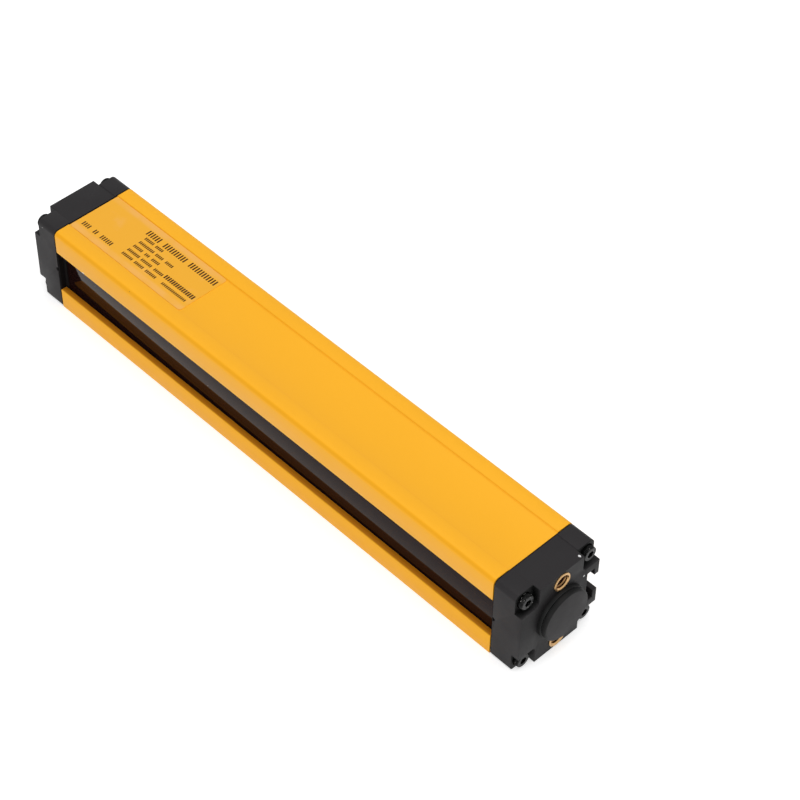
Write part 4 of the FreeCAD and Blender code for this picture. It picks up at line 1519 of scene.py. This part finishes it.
    def holes(self) -> list[Shape]:
        """Make the tools for the bore, the screw holes with their seats and the insert pockets."""
        through = self.block + self.collar_height + 2 * PAST
        sunk = self.counterbore_depth + PAST
        tools = [
            Shape.rod("bore", self.bore_radius, (-PAST, 0.0, 0.0), through, sides=96),
            Shape.rod("counterbore", self.counterbore_radius, (-PAST, 0.0, 0.0), sunk, sides=96),
        ]
        for rise in (-1, 1):
            floor = (self.block - self.pocket_depth, 0.0, rise * self.pocket_offset)
            tools.append(Shape.rod("pocket", self.pocket_radius, floor, self.pocket_depth + PAST))
        for side, rise in CORNERS:
            place = (side * self.screw_across, rise * self.screw_level)
            hole, seat = (-PAST, *place), (self.flange - self.seat_depth, *place)
            tools.append(Shape.rod("screw_hole", self.screw_radius, hole, self.flange + 2 * PAST, sides=32))
            tools.append(Shape.rod("seat", self.seat_radius, seat, self.seat_depth + 4 * PAST, sides=48))
        return tools

    def tabs(self) -> list[Shape]:
        """Make the two tabs that reach into the housing's cavity."""
        tools = []
        for rise in (-1, 1):
            low, high = sorted((rise * self.tab_near, rise * self.tab_far))
            box = Box((-self.tab_length, self.tab_front, low), (PAST / 2, self.tab_back, high))
            tab = Shape.block("tab", box)
            tools.append(tab.bevel(rim_at(Axis.X, -self.tab_length), self.edge, segments=1))
        return tools


@dataclass(frozen=True)
class CapScrews:
    """The eight knurled socket head screws, worked with the outer face at X 0."""

    palette: Palette
    head_radius: float = 2.75
    head_height: float = 3.0
    edge: float = 0.3
    foot_edge: float = 0.12
    knurls: int = 36
    knurl_share: float = 0.955
    knurl_top: float = 0.42
    knurl_foot: float = 0.25
    key_radius: float = 1.45
    key_depth: float = 1.5
    shank_radius: float = 1.5
    shank_length: float = 18.0

    def build(self) -> None:
        """Model one screw and copy it to the eight places."""
        pattern = self.pattern()
        for end in End:
            for number in range(1, 5):
                node = f"cap_screw_{end.label}_{number}"
                box = Box.of_node(node)
                place = (end.outer(box), box.centre.y, box.centre.z)
                screw = pattern.copy(f"socket_screw_{end.label}_{number}")
                piece = screw.settle(place, end.turn, smooth_angle=20.0)
                install(piece, self.palette, "black_screw", (node,))
        pattern.discard()

    def pattern(self) -> Shape:
        """Make the screw that is copied."""
        height, sides = self.head_height, 2 * self.knurls
        shape = Shape.rod("screw_pattern", self.head_radius, (-height, 0.0, 0.0), height, sides=sides)
        shape.bevel(rim_at(Axis.X, 0.0), self.edge)
        shape.bevel(rim_at(Axis.X, -height), self.foot_edge, segments=1)
        top, foot = -self.knurl_top, self.knurl_foot - height
        shape.slice(Axis.X, top)
        shape.slice(Axis.X, foot)
        step = math.pi / self.knurls

        def is_groove(vertex: bmesh.types.BMVert) -> bool:
            """Say whether a vertex of the knurled band is at the foot of a groove."""
            inside = foot - NEAR < vertex.co.x < top + NEAR
            return inside and round(math.atan2(vertex.co.z, vertex.co.y) / step) % 2 == 0

        with shape.picked(Element.VERTICES, is_groove):
            share = (1.0, self.knurl_share, self.knurl_share)
            bpy.ops.transform.resize(value=share, center_override=ORIGIN)
        sunk = self.key_depth
        shape.carve(Shape.rod("key", self.key_radius, (-sunk, 0.0, 0.0), sunk + PAST, sides=6))
        tip, length = -height - self.shank_length, self.shank_length + PAST / 2
        shank = Shape.rod("shank", self.shank_radius, (tip, 0.0, 0.0), length, sides=32)
        return shape.unite(shank.bevel(rim_at(Axis.X, tip), self.edge))


@dataclass(frozen=True)
class Inserts:
    """The four threaded brass inserts, worked with the outer face at X 0."""

    palette: Palette
    radius: float = 3.6
    length: float = 8.0
    root: float = 2.5
    crest: float = 2.12
    mouth: float = 2.9
    rim: float = 0.15
    back_edge: float = 0.2
    pitch: float = 0.8
    thread_start: float = 0.3
    plain_length: float = 1.2

    def build(self) -> None:
        """Model one insert and copy it to the four places."""
        pattern = self.pattern()
        for end in End:
            for place in ("lower", "upper"):
                node = f"insert_{end.label}_{place}"
                box = Box.of_node(node)
                insert = pattern.copy(f"brass_{node}")
                piece = insert.settle((end.outer(box), 0.0, box.centre.z), end.turn)
                install(piece, self.palette, "insert_brass", (node,))
        pattern.discard()

    def pattern(self) -> Shape:
        """Turn the insert that is copied, and wind its thread."""
        back = -self.length
        profile = (
            (back, self.root), (back, self.radius - self.back_edge), (back + self.back_edge, self.radius),
            (-self.rim, self.radius), (0.0, self.radius - self.rim), (0.0, self.mouth),
            (self.root - self.mouth, self.root),
        )
        turns = int((self.length - self.plain_length) / self.pitch)
        start = back + self.thread_start
        ridge = thread("insert_thread", self.root + BITE, self.crest, self.pitch, start, turns)
        return swept("insert_pattern", profile, steps=64).join(ridge)


@dataclass(frozen=True)
class BlankingPlug:
    """Snap-in plug that closes the blank cap's bore, turned about X."""

    palette: Palette
    box: Box
    head_radius: float = 9.9
    head_height: float = 1.8
    shank: float = 7.95
    barb_radius: float = 8.5
    barb_length: float = 1.6

    def build(self) -> None:
        """Model the plug with its barb and its rounded rim."""
        back, face = self.box.low[0], self.box.high[0]
        radius, seat, barb = self.head_radius, face - self.head_height, back + self.barb_length
        profile = (
            (back, 0.0), (back, self.shank), (barb, self.barb_radius), (barb, self.shank), (seat, self.shank),
            (seat, radius - 0.1), (seat + 0.1, radius), (face - 0.4, radius), (face - 0.25, radius - 0.05),
            (face - 0.05, radius - 0.25), (face, radius - 0.4), (face, 0.0),
        )
        piece = swept("closing_plug", profile).settle((0.0, 0.0, self.box.centre.z))
        install(piece, self.palette, "cap_plastic", ("blanking_plug",))


@dataclass(frozen=True)
class Connector:
    """Round socket of the connector end, worked with its seat at X 0 and its mouth towards +X."""

    palette: Palette
    seat: float
    level: float
    tail: float = -12.1
    flange_radius: float = 9.6
    flange_height: float = 1.4
    barrel: float = 7.9
    root: float = 7.4
    pitch: float = 1.0
    reach: float = 6.8
    socket: float = 6.8
    floor: float = 0.6
    pad_radius: float = 1.4
    pad_height: float = 0.25
    pin_radius: float = 0.75
    pin_circle: float = 4.2

    def build(self) -> None:
        """Model the shell, the insulator and the four pins."""
        place = (self.seat, 0.0, self.level)
        turn = End.CONNECTOR.turn
        install(self.shell().settle(place, turn), self.palette, "plated_metal", ("connector_shell",))
        insulator = self.insulator().settle(place, turn)
        install(insulator, self.palette, "black_insulator", ("connector_insulator",))
        self.build_pins()

    def shell(self) -> Shape:
        """Turn the shell with its flange and wind the thread on its barrel."""
        tail, end, wide, height = self.tail, self.reach, self.flange_radius, self.flange_height
        barrel, root, socket = self.barrel, self.root, self.socket
        profile = (
            (tail, socket), (tail, barrel - 0.2), (tail + 0.2, barrel), (0.0, barrel),
            (0.0, wide - 0.15), (0.15, wide), (height - 0.25, wide), (height, wide - 0.25), (height, root),
            (end - 0.25, root), (end, root - 0.2), (end, socket + 0.15), (end - 0.2, socket),
        )
        start = height + 0.15
        ridge = thread("barrel_thread", root - BITE, barrel, self.pitch, start, turns=4)
        return swept("socket_shell", profile).join(ridge)

    def insulator(self) -> Shape:
        """Turn the insulator disc and raise a round pad at each pin."""
        tail, floor, edge = self.tail, self.floor, self.socket - 0.03
        profile = ((tail, 0.0), (tail, edge), (floor - 0.2, edge), (floor, edge - 0.2), (floor, 0.0))
        disc = swept("socket_insulator", profile)
        start, height = floor - PAST / 2, self.pad_height + PAST / 2
        for across, rise in self.pin_places():
            pad = Shape.rod("pad", self.pad_radius, (start, across, rise), height, sides=32)
            disc.unite(pad.bevel(rim_at(Axis.X, floor + self.pad_height), 0.1))
        return disc

    def pin_places(self) -> tuple[tuple[float, float], ...]:
        """Give the places of the pins across the axis."""
        circle = self.pin_circle
        return ((0.0, circle), (circle, 0.0), (0.0, -circle), (-circle, 0.0))

    def build_pins(self) -> None:
        """Turn one pin with a rounded tip and copy it to the four places."""
        radius, foot = self.pin_radius, -Box.of_node("connector_pin_1").size.x
        profile = (
            (foot, 0.0), (foot, radius - 0.1), (foot + 0.1, radius), (-0.55, radius), (-0.3, radius - 0.08),
            (-0.1, radius - 0.3), (0.0, radius - 0.6), (0.0, 0.0),
        )
        pattern = swept("pin_pattern", profile, steps=32)
        for number in range(1, 5):
            node = f"connector_pin_{number}"
            box = Box.of_node(node)
            pin = pattern.copy(f"socket_pin_{number}")
            piece = pin.settle((box.low[0], box.centre.y, box.centre.z), End.CONNECTOR.turn)
            install(piece, self.palette, "pin_metal", (node,))
        pattern.discard()


KEPT_NODES = {
    "window_gasket_upper": "black_rubber",
    "window_gasket_lower": "black_rubber",
    "window_end_seal_blank": "black_rubber",
    "window_end_seal_connector": "black_rubber",
    "end_gasket_blank": "black_rubber",
    "end_gasket_connector": "black_rubber",
    "connector_nut": "plated_metal",
    "optics_carrier": "chip_black",
    "main_board": "board_green",
    "wire_header": "header_white",
    "signal_chip": "chip_black",
    "supply_chip": "chip_black",
    **{f"lens_{number}": "clear_lens" for number in range(1, 9)},
    **{f"diode_{number}": "diode_plastic" for number in range(1, 9)},
}


def dress_kept_nodes(palette: Palette) -> None:
    """Give the CAD nodes that are shown as they are their finishes.

    Args:
        palette: The bar's finishes.
    """
    for node, slot in KEPT_NODES.items():
        palette.dress(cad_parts[node], slot)
        log.info("%s keeps its shape, %s", node, slot)


# ------------------------------------------------------------------ studio


@dataclass(frozen=True)
class Lamp:
    """Square area lamp that looks at the bar."""

    name: str
    place: Point
    side: float
    power: float

    def build(self) -> None:
        """Hang the lamp and aim it at the origin."""
        data = bpy.data.lights.new(self.name, "AREA")
        data.shape = "SQUARE"
        data.size = self.side
        data.energy = self.power
        lamp = bpy.data.objects.new(self.name, data)
        lamp.location = self.place
        lamp.rotation_euler = (-Vector(self.place)).to_track_quat("-Z", "Y").to_euler()
        bpy.context.scene.collection.objects.link(lamp)


@dataclass(frozen=True)
class Viewpoint:
    """Camera that looks down on the bar's near end from the window's side."""

    azimuth: float = 45.245
    elevation: float = 46.547
    roll: float = 1.034
    target: Point = (0.021626, 0.02706, 0.0184)
    distance: float = 0.80945
    lens: float = 105.56

    def build(self) -> None:
        """Set up the camera."""
        azimuth = math.radians(self.azimuth)
        tilt = math.radians(90.0 - self.elevation)
        turn = Euler((tilt, 0.0, azimuth)).to_matrix() @ Matrix.Rotation(math.radians(self.roll), 3, "Z")
        data = bpy.data.cameras.new("main_camera")
        data.sensor_width = 36.0
        data.lens = self.lens
        data.clip_start = 0.01
        camera = bpy.data.objects.new("main_camera", data)
        camera.location = Vector(self.target) + turn @ Vector((0.0, 0.0, self.distance))
        camera.rotation_euler = turn.to_euler()
        bpy.context.scene.collection.objects.link(camera)
        bpy.context.scene.camera = camera


@dataclass(frozen=True)
class Studio:
    """Pale floor, white surround and soft lamps."""

    viewpoint: Viewpoint = Viewpoint()
    lamps: tuple[Lamp, ...] = (
        Lamp("overhead_lamp", (0.25, 0.1, 1.5), 1.2, 10.5),
        Lamp("window_side_lamp", (0.3, -1.4, 0.7), 1.0, 6.7),
    )
    floor_side: float = 6.0
    floor_colour: Colour = (0.8, 0.8, 0.8)
    floor_lift: float = 0.5
    surround: float = 0.5

    def build(self) -> None:
        """Build the whole studio."""
        self.viewpoint.build()
        for lamp in self.lamps:
            lamp.build()
        self.build_floor()
        self.build_world()
        bpy.context.scene.view_settings.view_transform = "Standard"

    def build_floor(self) -> None:
        """Lay the floor, which is lifted to white where no shadow falls."""
        bpy.ops.object.select_all(action="DESELECT")
        bpy.ops.mesh.primitive_plane_add(size=self.floor_side, location=(0.0, 0.0, 0.0))
        floor = bpy.context.active_object
        floor.name = "studio_floor"
        material = bpy.data.materials.new("floor_paper")
        material.use_nodes = True
        material.node_tree.nodes.clear()
        wiring = Wiring(material.node_tree)
        paper = wiring.node("ShaderNodeBsdfDiffuse")
        paper.inputs["Color"].default_value = (*self.floor_colour, 1.0)
        lift = wiring.node("ShaderNodeEmission")
        wiring.feed(lift.inputs["Strength"], wiring.maths("MULTIPLY", self.seen(wiring), self.floor_lift))
        both = wiring.node("ShaderNodeAddShader")
        wiring.feed(both.inputs[0], paper.outputs[0])
        wiring.feed(both.inputs[1], lift.outputs[0])
        wiring.feed(wiring.node("ShaderNodeOutputMaterial").inputs["Surface"], both.outputs[0])
        floor.data.materials.append(material)

    def build_world(self) -> None:
        """Make the surround white where it is seen, and dimmer as a light."""
        world = bpy.data.worlds.new("studio_surround")
        bpy.context.scene.world = world
        world.use_nodes = True
        world.node_tree.nodes.clear()
        wiring = Wiring(world.node_tree)
        background = wiring.node("ShaderNodeBackground")
        background.inputs["Color"].default_value = (1.0, 1.0, 1.0, 1.0)
        strength = wiring.maths("MULTIPLY_ADD", self.seen(wiring), 1.0 - self.surround, self.surround)
        wiring.feed(background.inputs["Strength"], strength)
        wiring.feed(wiring.node("ShaderNodeOutputWorld").inputs["Surface"], background.outputs[0])

    @staticmethod
    def seen(wiring: Wiring) -> bpy.types.NodeSocket:
        """Tell rays from the camera, or seen in gloss or through glass, from other rays.

        Args:
            wiring: Wiring of the tree.

        Returns:
            A socket that is 1 for such a ray.
        """
        path = wiring.node("ShaderNodeLightPath")
        either = wiring.maths("MAXIMUM", path.outputs["Is Camera Ray"], path.outputs["Is Glossy Ray"])
        return wiring.maths("MAXIMUM", either, path.outputs["Is Transmission Ray"])


# ------------------------------------------------------------------ the whole bar


def main() -> None:
    """Build the studio and the bar."""
    logging.basicConfig(level=logging.INFO, format="%(name)s: %(message)s")
    Studio().build()
    palette = Palette.build()
    bar, pane = Box.of_node("housing"), Box.of_node("front_window")
    Housing(palette, bar, pane, Box.of_node("main_board")).build()
    FrontWindow(palette, pane).build()
    Label(palette, Box.of_node("label_film")).build()
    for end in End:
        start = end.outer(Box.of_node(f"end_gasket_{end.label}"))
        EndCap(palette, end, start, Box.of_node(f"{end.label}_end_cap")).build()
    CapScrews(palette).build()
    Inserts(palette).build()
    BlankingPlug(palette, Box.of_node("blanking_plug")).build()
    Connector(palette, End.CONNECTOR.outer(Box.of_node("connector_end_cap")), bar.centre.z).build()
    dress_kept_nodes(palette)


if __name__ == "__main__":
    main()
